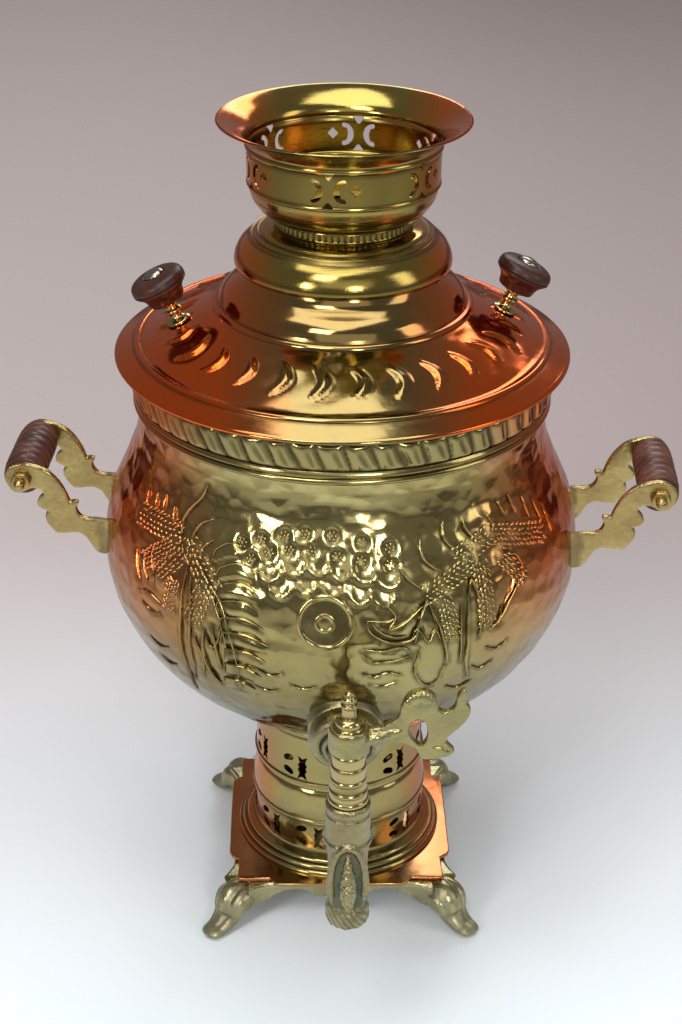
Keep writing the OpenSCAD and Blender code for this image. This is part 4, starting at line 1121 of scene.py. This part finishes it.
for side, word in ((-1, "left"), (1, "right")):
    stem = turned("knob_stem_turned_" + word, stem_line, 64, at_knob(side))
    scored(stem, lambda p: 0.0)
    fitted(smooth(stem, 40), "lid_body", "golden_brass", golden, "knob_stem_" + word)
    knob = turned("knob_wood_" + word, knob_line, 96, at_knob(side))
    back_home = at_knob(side).inverted()
    scored(knob, lambda p: math.exp(-(((back_home @ p).z / mm - knob_groove) / 0.35) ** 2))
    fitted(smooth(knob, 40), "lid_body", "dark_wood", wood, "knob_" + word)
caps = joined([turned("cap", cap_line, 48, at_knob(side)) for side in (-1, 1)], "knob_caps_domed")
fitted(smooth(caps, 40), "lid_body", "knob_cap", cap_metal.material, "knob_caps")
dressed("knob_nuts", golden)

# ---------------------------------------------------------------- crown
# The crown that a teapot stands on: a flared bowl spun from thin sheet, with windows sawn through its brushed
# wall, a milled ring under it and a stepped dome at its foot. A sleeve inside lets it stand in the fire tube.
dome_z = cone_z + 21.6
dome_r = 56.5
ring_z = dome_z + 21.9
ring_r = 35
bowl_z = ring_z + 5.2
bowl_r = 49.2
bowl_line = eased(along([[23 - bowl_r, 0], [23 - bowl_r, 0], [34.4 - bowl_r, 0], [-12.6, 0.3], [-9.2, 1.7],
                         [-6.2, 4.2], [-6.2, 4.2], [-5.9, 4.9], [-3.8, 7.2], [-2.0, 10.4], [-2.0, 10.4],
                         [-1.8, 11.2], [-0.9, 14.0], [-0.5, 16.0], [-0.5, 16.0], [0.2, 16.5], [0.4, 17.2],
                         [0.2, 18.0], [0, 18.3], [0, 18.3], [0, 20], [0.1, 27], [0.2, 34.4], [0.2, 34.4],
                         [0.7, 35.0], [1.1, 36.0], [0.9, 37.0], [0.5, 37.5], [0.5, 37.5], [0.7, 38.4],
                         [1.5, 39.9], [3.2, 41.9], [6.2, 44.4], [10.2, 46.8], [13.6, 48.1], [15.0, 48.4],
                         [15.3, 48.8], [15.0, 49.2]], bowl_r, bowl_z), 3)
hook_slot = [[-2.6, 6.2], [0.4, 5.2], [2.3, 2.8], [2.9, 0], [2.3, -2.8], [0.4, -5.2], [-2.6, -6.2],
             [-3.4, -4.6], [-2.2, -3.3], [-1.2, -3.3], [-0.5, -1.6], [-0.3, 0], [-0.5, 1.6], [-1.2, 3.3],
             [-2.2, 3.3], [-3.4, 4.6]]
hook_slot = eased(hook_slot, 3, True)
window = [[(x - 5.4, z) for x, z in hook_slot],
          [(5.4 - x, z) for x, z in reversed(hook_slot)],
          [(-3.3, 9.6), (3.3, 9.6), (0.6, 5.6), (-0.6, 5.6)],
          [(-0.62, -5.37), (0.58, -5.43), (3.17, -8.83), (-3.23, -8.77)],
          [(10.5, 0.6), (13.4, 3.8), (16.3, 0.6), (13.4, -2.6)]]
bowl = turned("crown_bowl_spun", sheeted(bowl_line, 1.1), 160)
pierced(bowl, punch(window, bowl_r, bowl_z + 26.25, 6, -10.4))
ringed(bowl, [bowl_z + h for h in (4.5, 10.8, 16.1, 18.5, 34.3, 37.6)], 0.7)
# Its sides get a painted orange-red reflection of the room.
crown_metal = sheet_brass("golden_brass_crown", (0.34, 0.275, 0.075), (0.31, 0.20, 0.05), (0.11, 0.07, 0.025),
                          0.5, 0.10, 0.00012, 1.0, ((0.90, 0.17, 0.02), 0.032, 0.052))
fitted(smooth(bowl, 36), "crown_body", "golden_brass", crown_metal, "crown_bowl")

teeth = 66
mill_line = eased(along([[-5, 0], [-5, 0], [0, 0], [0, 0], [0.2, 0.5], [0, 1], [0, 1], [0, 1.6], [0, 3.4],
                         [0, 4], [0, 4], [0.2, 4.5], [0, 5], [0, 5], [-5, 5], [-5, 5], [-5, 0]],
                        ring_r, ring_z), 2)
mill = turned("crown_ring_milled", mill_line, teeth * 6)
spots = corners_of(mill)
now = np.hypot(spots[:, 0], spots[:, 1])
cut = (now > ring_r - 0.6) & (spots[:, 2] > ring_z + 0.9) & (spots[:, 2] < ring_z + 4.1)
low = np.where(cut, np.clip(np.cos(np.arctan2(spots[:, 0], -spots[:, 1]) * teeth), 0, 1) ** 0.7, 0)
spots[:, :2] *= (1 - 0.65 * low / now)[:, None]
reshaped(mill, spots, low)
fitted(smooth(mill, 50), "crown_body", "golden_brass", crown_metal, "crown_ring")

dome_line = eased(along([[-1.5, 0], [-0.6, 0.6], [-0.1, 1.8], [0, 3.8], [-0.9, 7.4], [-3.3, 11.6],
                         [-6.3, 14.5], [-7.6, 15.6], [-7.6, 15.6], [-8.9, 17.0], [-8.9, 17.0], [-9.9, 16.7],
                         [-9.9, 16.7], [-10.7, 17.6], [-12.1, 18.6], [-12.1, 18.6], [-13.3, 18.4],
                         [-13.3, 18.4], [-15.0, 20.0], [-18.3, 21.0], [-20.1, 21.6], [-21.5, 21.7]],
                        dome_r, dome_z), 3)
dome = turned("crown_dome_spun", sheeted(dome_line, 1.1), 200)
ringed(dome, [dome_z + h for h in (15.6, 16.8, 18.5)], 0.7)
fitted(smooth(dome, 36), "crown_body", "sheet_brass", crown_metal, "crown_dome")

# ---------------------------------------------------------------- handles
# On each side two scrolled plates are screwed to the belly through their bosses. A rod with a ball at each
# end runs between them under two nuts, and carries a turned grip of dark varnished wood.
hook_r = belly_r + 41
hook_z = mouth_z - 43.1
plate_y = 25.2
plate_t = 3.6


def by_side(side):
    return at_middle @ Matrix.Rotation(math.radians(-4 if side > 0 else 176), 4, "Z")


def sunk(piece, depth=0.6):
    """Lets the piece end inside the sheet of the belly: whatever would reach further in stops there."""
    for v in piece.data.vertices:
        x, y, z = v.co.x / mm, v.co.y / mm - middle, v.co.z / mm
        if math.hypot(x, y) < skin_at(z)[0] - depth:
            v.co = on_skin(math.degrees(math.atan2(x, -y)), z, -depth) * mm


def roughened(piece, size, depth, share_at=None):
    """Gives a casting the unevenness of the sand: soft bumps of a size in mm, pushed along the surface."""
    normals = [n.vector.copy() for n in piece.data.vertex_normals]
    for v, n in zip(piece.data.vertices, normals):
        share = share_at(v.co) if share_at else 1
        bump = noise.noise(v.co / (size * mm)) + 0.5 * noise.noise(v.co / (size * 0.45 * mm))
        v.co += n * bump * depth * share * mm
    return piece


def melted(pieces, name, voxel, ratio=1.0):
    """Casts several pieces into one: their outer skin, with the joins run together."""
    piece = joined(pieces, name)
    changed(piece, "REMESH", mode="VOXEL", voxel_size=voxel * mm)
    changed(piece, "SMOOTH", factor=0.5, iterations=2)
    if ratio < 1:
        changed(piece, "DECIMATE", ratio=ratio)
    return piece


scroll = [[8.9, 0.4], [8.0, 4.9], [4.6, 8.0], [0, 9.4], [-4.8, 9.0], [-9.6, 7.6], [-14.3, 5.4],
          [-17.3, 2.6], [-20.2, -1.0], [-22.8, -5.6], [-24.6, -10.0], [-25.3, -13.2], [-25.3, -13.2],
          [-26.9, -12.2], [-29.6, -12.2], [-29.8, -14.0], [-28.6, -15.6], [-28.6, -15.6], [-29.2, -18.6],
          [-31.4, -21.6], [-35.4, -22.6], [-42.2, -22.9], [-42.2, -22.9], [-44.5, -23.4], [-56, -23.2],
          [-56, -23.2], [-56, -44.7], [-56, -44.7], [-44.5, -44.2], [-42.1, -44.2], [-42.1, -44.2],
          [-38.8, -43.0], [-36.2, -39.2], [-33.0, -33.6], [-33.0, -33.6], [-28.6, -31.2], [-24.6, -31.6],
          [-17.6, -32.0], [-15.0, -29.6], [-12.2, -25.6], [-11.6, -21.0], [-13.4, -18.5], [-13.4, -18.5],
          [-9.8, -17.2], [-7.6, -14.8], [-8.6, -10.9], [-11.6, -8.0], [-11.6, -8.0], [-9.2, -5.6],
          [-4.8, -5.3], [-1.6, -7.0], [2.0, -8.2], [6.0, -6.4]]
scroll_line = eased(scroll, 3, True)
handle_metal = cast_brass("cast_brass_handles", (0.50, 0.39, 0.15), (0.36, 0.25, 0.10), (0.17, 0.13, 0.07),
                          0.6, 0.00016)
quarter_turn = Matrix.Rotation(math.pi / 2, 4, "X")
# the boss of a plate, from inside the belly outwards: how far out, half its height and half its width
boss_sizes = ((-20, 11.4, 5.8), (-6, 10.6, 5.6), (-2.5, 9.6, 4.6), (-0.5, 8.6, 3.4), (2.2, 7.6, 2.2),
              (5, 6.4, 1.4))
for side, side_word in ((-1, "left"), (1, "right")):
    for front, y in ((True, -plate_y), (False, plate_y + plate_t)):
        place = by_side(side) @ Matrix.Translation((hook_r * mm, y * mm, hook_z * mm)) @ quarter_turn
        arm = slab("arm", scroll_line, plate_t, place, 0.9)
        mid_y = y - plate_t / 2
        rings = []
        for x, tall, thick in boss_sizes:
            rings.append([(belly_r + x, mid_y + math.sin(k * math.pi / 12) * thick,
                           hook_z - 34 + math.cos(k * math.pi / 12) * tall) for k in range(24)])
        boss_piece = moved(drawn("boss", rings), by_side(side))
        arm = melted([arm, boss_piece], "bracket_casting", 0.62)
        sunk(roughened(arm, 3.4, 0.07))
        way_home = by_side(side).inverted()
        name = "bracket_" + side_word + ("_front" if front == (side > 0) else "_back")
        scored(arm, lambda p: min(1, max(0, 1 - ((way_home @ p).x / mm - belly_r) / 3.5) * 0.9))
        fitted(smooth(arm, 40), "urn", "cast_brass", handle_metal, name)
        arm.name = name + "_casting"

grip_half = [[2.8, 0], [2.8, 0], [9.0, 0], [9.9, 0.4], [10.3, 1.6], [10.2, 2.8], [9.6, 3.4], [9.6, 3.4],
             [9.1, 4.0], [9.6, 4.6], [9.6, 4.6], [10.6, 5.4], [10.9, 7.4], [10.7, 9.4], [10.0, 10.1],
             [10.0, 10.1], [9.4, 10.7], [10.0, 11.3], [10.0, 11.3], [10.9, 12.1], [11.0, 14.2],
             [10.8, 16.2], [10.1, 16.9], [10.1, 16.9], [9.5, 17.5], [10.1, 18.1], [10.1, 18.1],
             [10.9, 18.9], [11.0, 21.0], [10.8, 23.4], [10.2, 24.3], [10.2, 24.3], [9.7, 25]]
grip_line = eased(grip_half + [[r, 50 - z] for r, z in reversed(grip_half[:-1])], 2)
grip_wood = polished_wood("dark_wood_grips", (0.060, 0.020, 0.014), (0.17, 0.065, 0.04), (0.3, 1, 1), 0.3)
grooves = [4.0, 10.7, 17.5, 25, 32.5, 39.3, 46.0]
ball_r = 3.1
for side, side_word in ((-1, "left"), (1, "right")):
    across = by_side(side) @ Matrix.Translation((hook_r * mm, 0, hook_z * mm)) @ quarter_turn
    grip = turned("grip_wood_" + side_word, grip_line, 72, across @ Matrix.Translation((0, 0, -25 * mm)))
    way_home = across.inverted()
    scored(grip, lambda p: max(math.exp(-(((way_home @ p).z / mm + 25 - g) / 0.5) ** 2)
                               for g in grooves))
    fitted(smooth(grip, 40), "urn", "dark_wood", grip_wood, "grip_" + side_word)
    end = plate_y + plate_t + 0.2 + 5.8
    ball = [[ball_r * math.cos(math.radians(a)), end + ball_r * math.sin(math.radians(a))]
            for a in range(-36, 91, 9)]
    rod_line = [[2.5, end - 2.2], [2.5, end - 2.2]] + ball
    rod_line = [[r, -z] for r, z in reversed(rod_line)] + rod_line
    rod = turned("rod_" + side_word + "_turned", rod_line, 40, across)
    scored(rod, lambda p: 0.2)
    fitted(smooth(rod, 40), "urn", "cast_brass", handle_metal, "rod_" + side_word)

nuts = []
nut_r = 5.6
nut_shape = [[0, -0.5], [6.2, -0.5], [6.2, 1.9], [4.6, 4.0], [0, 4.0]]
hexagon = [(nut_r * math.cos(k * math.pi / 3), nut_r * math.sin(k * math.pi / 3)) for k in range(6)]
as_it_is = Matrix.Identity(4)
for side in (-1, 1):
    for tilt in (-90, 90):
        seat = by_side(side) @ Matrix.Translation((hook_r * mm, 0, hook_z * mm))
        seat = seat @ Matrix.Rotation(math.radians(tilt), 4, "X")
        seat = seat @ Matrix.Translation((0, 0, (plate_y + plate_t + 0.2) * mm))
        nut = slab("nut", hexagon, 3.8, as_it_is, 0.5, 2)
        chamfer = turned("chamfer", nut_shape, 48, as_it_is)
        changed(nut, "BOOLEAN", operation="INTERSECT", object=chamfer, solver="EXACT")
        bpy.data.objects.remove(chamfer)
        pierced(nut, turned("hole", [[0, -2], [2.55, -2], [2.55, 6], [0, 6]], 32, as_it_is))
        nuts.append(moved(nut, seat))
nuts = joined(nuts, "handle_nuts_cut")
scored(nuts, lambda p: 0.15)
fitted(smooth(nuts, 30), "urn", "cast_brass", handle_metal, "handle_nuts")

# ---------------------------------------------------------------- tap
# One casting: a sloping pipe, the barrel that takes the taper plug, and a leaning spout with an arch and a
# knobbly ridge on its front and a wide rough lip. It is screwed through a round flange into the belly, and
# limescale has left it green and grey low down.
tap_y = belly_r + 48
rim_z = 173.5
pipe_z = rim_z - 12
spout_z = rim_z - 69
spout_top = rim_z - 24
lip_z = spout_z + 15
lean = 5.5
at_tap = Matrix.Translation((0, (middle - tap_y) * mm, 0))
at_rim = at_tap @ Matrix.Translation((0, 0, rim_z * mm))
at_spout = at_tap @ Matrix.Translation((0, -lean * mm, spout_z * mm))
down_pipe = at_tap @ Matrix.Translation((0, 0, pipe_z * mm)) @ Matrix.Rotation(math.radians(-77), 4, "X")
tap_metal = cast_brass("cast_brass_tap", (0.35, 0.31, 0.15), (0.25, 0.205, 0.11), (0.085, 0.10, 0.06),
                       1.0, 0.0004)
flange_line = eased([[9.4, 77], [9.4, 77], [9.4, 45.6], [9.4, 45.6], [10.6, 44.9], [12.0, 45.2],
                     [12.6, 46.3], [12.7, 47.4], [12.7, 47.4], [13.6, 46.7], [15.4, 46.4], [17.4, 47.4],
                     [18.8, 49.4], [19.4, 52.2], [19.0, 55.6], [18.6, 57.5], [18.6, 57.5], [19.3, 60],
                     [19.4, 77], [19.4, 77], [9.4, 77]], 3)
flange = turned("flange", flange_line, 96, down_pipe)
sunk(roughened(flange, 4.5, 0.12))
inward = down_pipe.inverted()


def flange_grime(p):
    """Old polish is left in the step of the flange and where it meets the belly."""
    x, y, z = (inward @ p) / mm
    return min(1, max(math.exp(-(math.hypot(x, y) - 12.8) ** 2), held((z - 55) / 8) * 0.8))


scored(flange, flange_grime)
fitted(smooth(flange, 40), "urn", "cast_brass", tap_metal, "tap_flange")
flange.name = "tap_flange_casting"

pipe = turned("pipe", eased([[0, 2], [0, 2], [9, 2], [9, 2], [8.7, 12], [8.5, 24], [8.7, 36], [9, 46],
                             [9, 84], [9, 84], [0, 84]], 3), 64, down_pipe)
barrel_line = eased([[0, -30], [0, -30], [9.6, -30], [10.6, -27.5], [11.2, -24.4], [11.2, -24.4],
                     [11.9, -23.4], [11.9, -22.0], [11.2, -21.0], [11.2, -21.0], [11.1, -14], [11.2, -7],
                     [11.2, -7], [10.6, -6.2], [10.7, -5.2], [10.7, -5.2], [11.2, -4.2], [11.4, -2.6],
                     [11.1, -1.0], [10.4, 0], [10.4, 0], [0, 0]], 3)
barrel = turned("barrel", barrel_line, 80, at_rim)
front_y = middle - tap_y
spout_rings = []
for k in range(9):
    t = k / 8
    z = spout_top + 1 + (lip_z - 2 - spout_top) * t
    wide, thick = 10.8 - 1.3 * t - 0.5 * math.sin(math.pi * t), 10.6 - 0.9 * t
    turns = [a * math.pi / 24 for a in range(48)]
    spout_rings.append([(wide * math.sin(a), front_y - lean * t - thick * math.cos(a), z) for a in turns])
spout = drawn("spout", spout_rings)
lip_line = eased([[0, 0.4], [0, 0.4], [8.6, 0.4], [10.0, 1.2], [10.8, 3], [10.9, 6], [10.6, 9.4],
                  [9.7, 12.0], [9.2, 14.0], [8.8, 17], [8.8, 17], [0, 17]], 3)
lip = turned("lip", lip_line, 72, at_spout)


def on_spout(x, z, out):
    """A point in front of the spout: sideways, height and how far it stands off."""
    t = held((spout_top - z) / (spout_top - lip_z))
    return (x, front_y - lean * t - math.sqrt(max(10.4 ** 2 - x * x, 1)) - out + 0.3, z)


def rod_along(name, points, radii, count=12):
    """A round bar along points, its radius changing from one to the next."""
    rings = []
    for i, (p, r) in enumerate(zip(points, radii)):
        before, after = Vector(points[max(i - 1, 0)]), Vector(points[min(i + 1, len(points) - 1)])
        ahead = (after - before).normalized()
        side = ahead.cross(Vector((0.3, 1, 0.1))).normalized()
        up = side.cross(ahead)
        turns = [k * 2 * math.pi / count for k in range(count)]
        rings.append([Vector(p) + side * (r * math.cos(a)) + up * (r * math.sin(a)) for a in turns])
    return drawn(name, rings)


arch_path = eased([[-7.6, lip_z + 4], [-8.0, lip_z + 12], [-7.2, lip_z + 21], [-5.0, lip_z + 28.4],
                   [-2.2, lip_z + 32], [0, lip_z + 33], [2.2, lip_z + 32], [5.0, lip_z + 28.4],
                   [7.2, lip_z + 21], [8.0, lip_z + 12], [7.6, lip_z + 4]], 3)
arch_last = len(arch_path) - 1
arch_thick = [1.3 + 0.9 * math.sin(math.pi * i / arch_last) for i in range(len(arch_path))]
arch_bar = rod_along("arch", [on_spout(x, z, 0.7) for x, z in arch_path], arch_thick)
core_thick = [0.8, 1.9, 2.8, 3.5, 3.9, 4.1, 4.2, 4.1, 3.9, 3.6, 3.2, 2.7, 2.2, 1.6, 0.8]
core_path = [on_spout(0, lip_z - 3 + 2.2 * k, 0.9) for k in range(len(core_thick))]
core_bar = rod_along("core", core_path, core_thick)
side_thick = [0.8, 1.4, 1.7, 1.8, 1.8, 1.7, 1.6, 1.5, 1.4, 1.2, 1.0, 0.6]
side_bars = []
for side in (-1, 1):
    path = [(side * (9.2 - 0.02 * k * k), front_y - lean * (1 - k / 14) - 3.8, lip_z + 1 + 2.6 * k)
            for k in range(len(side_thick))]
    side_bars.append(rod_along("side", path, side_thick))
tap = melted([pipe, barrel, spout, lip, arch_bar, core_bar] + side_bars, "tap_casting", 0.5)


def knobbly(p):
    """Where the casting is roughest: down the ridge on the spout, and on the lip."""
    x, y, z = p.x / mm, p.y / mm - front_y, p.z / mm
    in_front = held((-y - 9.5) / 2.5)
    on_core = math.exp(-(x / 4.2) ** 4) * in_front * held((lip_z + 30 - z) / 4)
    on_lip = held((lip_z + 1 - z) / 4) * 0.6
    return 0.18 + max(on_core, on_lip)


roughened(tap, 2.0, 0.62, knobbly)
plug_bore = [[0, -26], [6.15, -26], [7.45, 0], [11.6, 0.02], [11.6, 20], [0, 20]]
pierced(tap, turned("plug_bore", plug_bore, 40, at_rim))
down_spout = at_spout @ Matrix.Rotation(math.radians(-5.2), 4, "X")
pierced(tap, turned("spout_bore", [[0, -1], [4.8, -1], [4.6, 62], [0, 62]], 40, down_spout))
pierced(tap, turned("pipe_bore", [[0, 5], [4.6, 5], [4.6, 90], [0, 90]], 40, down_pipe))
sunk(tap)


def grimed(p):
    """How much scale and old polish is left: round the ridge, on the lip and at the back."""
    x, y, z = p.x / mm, p.y / mm - front_y, p.z / mm
    low_down = held((lip_z + 14 - z) / 16)
    nook = 0.0
    if lip_z - 2 < z < lip_z + 33 and y < 0:
        standing = math.hypot(x, y + lean * (spout_top - z) / (spout_top - lip_z)) - 10.3
        nook = held((1.5 - standing) / 1.4) * held((8.6 - abs(x)) / 1.5)
    scale_left = 0.85 * low_down * (0.6 + 0.4 * math.sin(x * 2.1 + z * 1.3))
    return min(1, max(scale_left, nook, 0.5 if y > 8 else 0.1))


scored(tap, grimed)
fitted(smooth(tap, 50), "urn", "cast_brass", tap_metal, "tap_body")

# ---------------------------------------------------------------- key
# The plug is one turning: a ground taper in the barrel, and above it a polished column in rings with a bell
# and a ball on top. The cast key is driven on to it: a plate with a ribbed shell, an eye, a notch and a horn.
column = eased([[9.6, 0.3], [9.6, 0.3], [10.0, 1.0], [9.9, 2.4], [9.3, 3.2], [9.3, 3.2], [9.1, 6.2],
                [9.1, 6.2], [9.6, 6.7], [9.7, 7.5], [9.3, 8.3], [9.3, 8.3], [8.9, 9.4], [8.4, 12.6],
                [8.4, 12.6], [8.8, 13.1], [8.9, 14.0], [8.4, 14.9], [8.4, 14.9], [8.4, 16.4], [8.9, 19.0],
                [8.7, 21.4], [8.2, 22.0], [8.2, 22.0], [8.0, 22.7], [8.3, 25.8], [8.3, 27.9], [7.8, 28.9],
                [7.8, 28.9], [7.5, 29.4], [7.3, 41.2], [7.3, 41.2], [7.6, 41.9], [7.5, 43.4], [6.7, 44.3],
                [6.7, 44.3], [6.7, 45.4], [6.5, 46.8], [5.4, 47.9], [3.9, 48.6], [3.9, 48.6], [3.4, 50.2],
                [3.5, 53.6], [4.0, 54.8], [4.0, 55.7], [3.4, 56.3], [3.4, 56.3], [3.1, 57.0], [3.6, 58.0],
                [3.5, 59.2], [2.7, 60.0], [2.4, 61.6], [1.4, 62.7], [0, 63]], 3)
plug = turned("key_plug_turned", [[0, -25], [6.0, -25], [7.3, 0.3]] + column, 72, at_rim)
ringed(plug, [rim_z + h for h in (3.2, 6.2, 8.4, 12.6, 14.9, 22.0, 28.9, 41.2, 44.3, 48.6, 56.3)], 0.55)
fitted(smooth(plug, 36), "key_body", "golden_brass", golden, "key_plug")

key_line = eased([[7.0, 42.3], [7.0, 42.3], [14.4, 42.8], [19.3, 45.4], [23.6, 49.0], [24.8, 55.4],
                  [27.2, 60.2], [30.8, 62.9], [35.3, 63.8], [39.0, 62.2], [41.3, 58.5], [42.2, 53.6],
                  [42.2, 53.6], [45.3, 51.6], [48.6, 53.1], [50.7, 57.1], [51.2, 61.0], [54.0, 64.2],
                  [55.4, 62.8], [55.5, 57.4], [57.6, 53.2], [56.4, 47.8], [52.5, 42.7], [47.9, 38.0],
                  [46.3, 35.2], [46.3, 35.2], [48.3, 32.6], [50.7, 29.6], [49.4, 27.2], [44.5, 25.5],
                  [36.0, 24.6], [33.6, 27.6], [31.8, 31.0], [31.8, 31.0], [26.1, 34.0], [19.5, 34.6],
                  [11.0, 32.6], [7.0, 30.8], [7.0, 30.8]], 3, True)
key_eye = eased([[27.9, 42.5], [30.0, 46.5], [33.2, 48.0], [36.2, 46.1], [37.4, 41.6], [37.2, 36.0],
                 [34.9, 32.9], [32.0, 34.4], [29.2, 38.4]], 3, True)
at_key = at_tap @ Matrix.Translation((0, 2 * mm, rim_z * mm)) @ quarter_turn
plate_key = slab("key_plate", key_line, 4, at_key, 0.9)
eye = drawn("eye", [[(x, z, -2) for x, z in key_eye], [(x, z, 6) for x, z in key_eye]])
pierced(plate_key, moved(eye, at_key))
neck_path = ((6.6, 36.8), (9, 36.9), (13, 37.4), (18, 38.6), (23, 40.6), (27, 42))
neck_bar = rod_along("bridge", [(x, front_y, rim_z + z) for x, z in neck_path],
                     [5.4, 4.9, 4.2, 3.7, 3.2, 1.6], 20)
sleeve_line = eased([[7.6, 29.6], [7.6, 29.6], [9.2, 29.8], [9.9, 31.4], [9.9, 36], [9.8, 41.4],
                     [9.0, 43.2], [7.6, 43.3], [7.6, 43.3], [7.6, 29.6]], 3)
sleeve = turned("sleeve", sleeve_line, 64, at_rim)
inner, outer = 2.2, 8.3
ribs = []
for side in (-1, 1):
    for k in range(9):
        a = math.radians(-62 + 14.5 * k)
        path = []
        for i in range(6):
            d = inner + (outer - inner) * i / 5
            rib_y = front_y + side * (1.9 + 0.6 * math.sin(math.pi * i / 5))
            path.append((34 + d * math.sin(a), rib_y, rim_z + 55 + d * math.cos(a)))
        ribs.append(rod_along("rib", path, [0.5, 0.7, 0.95, 1.1, 1.1, 0.7], 8))
    path = [(40 + 1.7 * i, front_y + side * 1.9, rim_z + 31 - 0.35 * i + math.sin(i) * 0.6)
            for i in range(6)]
    ribs.append(rod_along("scar", path, [0.4, 0.9, 1.1, 1.1, 0.9, 0.4], 8))
key = melted([plate_key, neck_bar, sleeve] + ribs, "key_casting", 0.42, 0.8)
pierced(key, turned("key_bore", [[0, 20], [7.62, 20], [7.62, 75], [0, 75]], 64, at_rim))


def bridge_rough(p):
    """Where the key is roughest: on its bridge to the column, and round the scar."""
    x, z = p.x / mm, p.z / mm - rim_z
    on_scar = math.exp(-(((x - 45) / 7) ** 2 + ((z - 29) / 5) ** 2))
    return 0.15 + math.exp(-((x - 17) / 9) ** 4) + 0.7 * on_scar


roughened(key, 2.0, 0.3, bridge_rough)
key_metal = cast_brass("cast_brass_key", (0.38, 0.33, 0.14), (0.29, 0.25, 0.12), (0.19, 0.19, 0.12),
                       0.7, 0.0002)


def key_grime(p):
    """Old polish is left between the ribs of the fan and on the bridge."""
    x, y, z = p.x / mm, abs(p.y / mm - front_y), p.z / mm - rim_z
    fan = math.exp(-(((x - 34) / 8) ** 4 + ((z - 58.5) / 5.5) ** 4)) * held((2.5 - y) / 0.5)
    return min(1, max(0.7 * fan, 0.45 * math.exp(-((x - 17) / 9) ** 4), 0.15))


scored(key, key_grime)
fitted(smooth(key, 45), "key_body", "cast_brass", key_metal, "key_handle")

# ---------------------------------------------------------------- studio
# The samovar stands on one wide sheet of matt card under soft lamps: two narrow windows and a large panel in
# front, a key lamp at the left, a weaker one at the right, one behind for the rims and one overhead. A pool
# of
# light is painted on the card: pale near the samovar and greying outwards; behind, it is dimmer, painted
# darker to the right, and glows faintly where it is seen.
fresh()
bpy.ops.mesh.primitive_grid_add(x_subdivisions=8, y_subdivisions=8, size=60)
card = bpy.context.object
card.name = "card"
tone = Finish("matt_card")
across = tone.aside()
deep_y = tone.node("ShaderNodeSeparateXYZ", {}, {"Vector": tone.spot()}, out=1)
to_right = tone.node("ShaderNodeMapRange", {"interpolation_type": "SMOOTHSTEP"},
                     {"Value": across, "From Min": -0.5, "From Max": 0.6})
run_back = tone.node("ShaderNodeMapRange", {"interpolation_type": "SMOOTHSTEP"},
                     {"Value": deep_y, "From Min": -0.16, "From Max": 0.55})
# Painted pool of light: the card is pale near the samovar and greys outwards.
run_out = tone.node("ShaderNodeMapRange", {"interpolation_type": "SMOOTHSTEP"},
                    {"Value": across * across + deep_y * deep_y, "From Min": 0.10, "From Max": 0.60})
near_colour = tone.mixed(run_out, (0.88, 0.95, 0.99), (0.44, 0.45, 0.46))
seen = tone.node("ShaderNodeLightPath", {}, {})
# Painted shade: the far card is darker towards the right, and glows faintly where the camera sees it.
far_colour = tone.mixed(to_right, (0.43, 0.375, 0.37), (0.34, 0.29, 0.285))
far_light = tone.mixed(to_right, (0.17, 0.145, 0.14), (0.10, 0.080, 0.076))
tone.set(Base_Color=tone.mixed(run_back, near_colour, far_colour), Roughness=0.62, Specular_IOR_Level=0.25,
         Emission_Color=tone.mixed(run_back * seen, (0, 0, 0), far_light), Emission_Strength=1.0)
card.data.materials.append(tone.material)


def soft_box(name, spot, aim, wide, tall, power, colour=(1, 1, 1)):
    """A square soft lamp at a place in metres, turned to shine on another."""
    lamp = bpy.data.lights.new(name, "AREA")
    lamp.shape = "RECTANGLE"
    lamp.size = wide
    lamp.size_y = tall
    lamp.energy = power
    lamp.color = colour
    box = bpy.data.objects.new(name, lamp)
    bpy.context.scene.collection.objects.link(box)
    box.location = spot
    box.rotation_euler = (Vector(aim) - Vector(spot)).to_track_quat("-Z", "Y").to_euler()


soft_box("left_window", (-0.96, -1.15, 0.80), (0, 0.03, 0.26), 0.22, 0.46, 5.5)
soft_box("right_window", (0.31, -1.47, 0.80), (0, 0.03, 0.26), 0.18, 0.46, 5)
soft_box("front_panel", (0.1, -2.3, 1.7), (0, 0.03, 0.25), 2.4, 1.2, 5.5)
soft_box("key_box", (-0.5, -1.0, 1.7), (0, 0.03, 0.22), 0.5, 0.5, 9)
soft_box("fill_box", (1.5, -0.6, 1.0), (0, 0.03, 0.2), 0.5, 1.2, 5, (1.0, 0.97, 0.93))
soft_box("rim_box", (0.5, 1.7, 1.5), (0, 0.03, 0.3), 1.2, 0.6, 9, (0.95, 0.97, 1.0))
soft_box("top_box", (-0.1, -0.1, 1.9), (0, 0, 0), 1.2, 1.2, 15.5)
world = bpy.data.worlds.new("studio")
bpy.context.scene.world = world
world.use_nodes = True
sky = world.node_tree.nodes["Background"]
sky.inputs["Color"].default_value = (0.42, 0.40, 0.39, 1)
sky.inputs["Strength"].default_value = 0.5
bpy.context.scene.view_settings.view_transform = "Standard"
camera_data = bpy.data.cameras.new("camera")
camera_data.lens = 65.6
camera_data.sensor_width = 36
camera = bpy.data.objects.new("camera", camera_data)
bpy.context.scene.collection.objects.link(camera)
bpy.context.scene.camera = camera
away, yaw = 0.9139, math.radians(1.5)
camera.location = (-away * math.sin(yaw), middle * mm - away * math.cos(yaw), 0.7228)
camera.rotation_euler = (Matrix.Rotation(-yaw, 3, "Z") @ Matrix.Rotation(math.radians(62.03), 3, "X")
                         @ Matrix.Rotation(math.radians(0.49), 3, "Z")).to_euler()
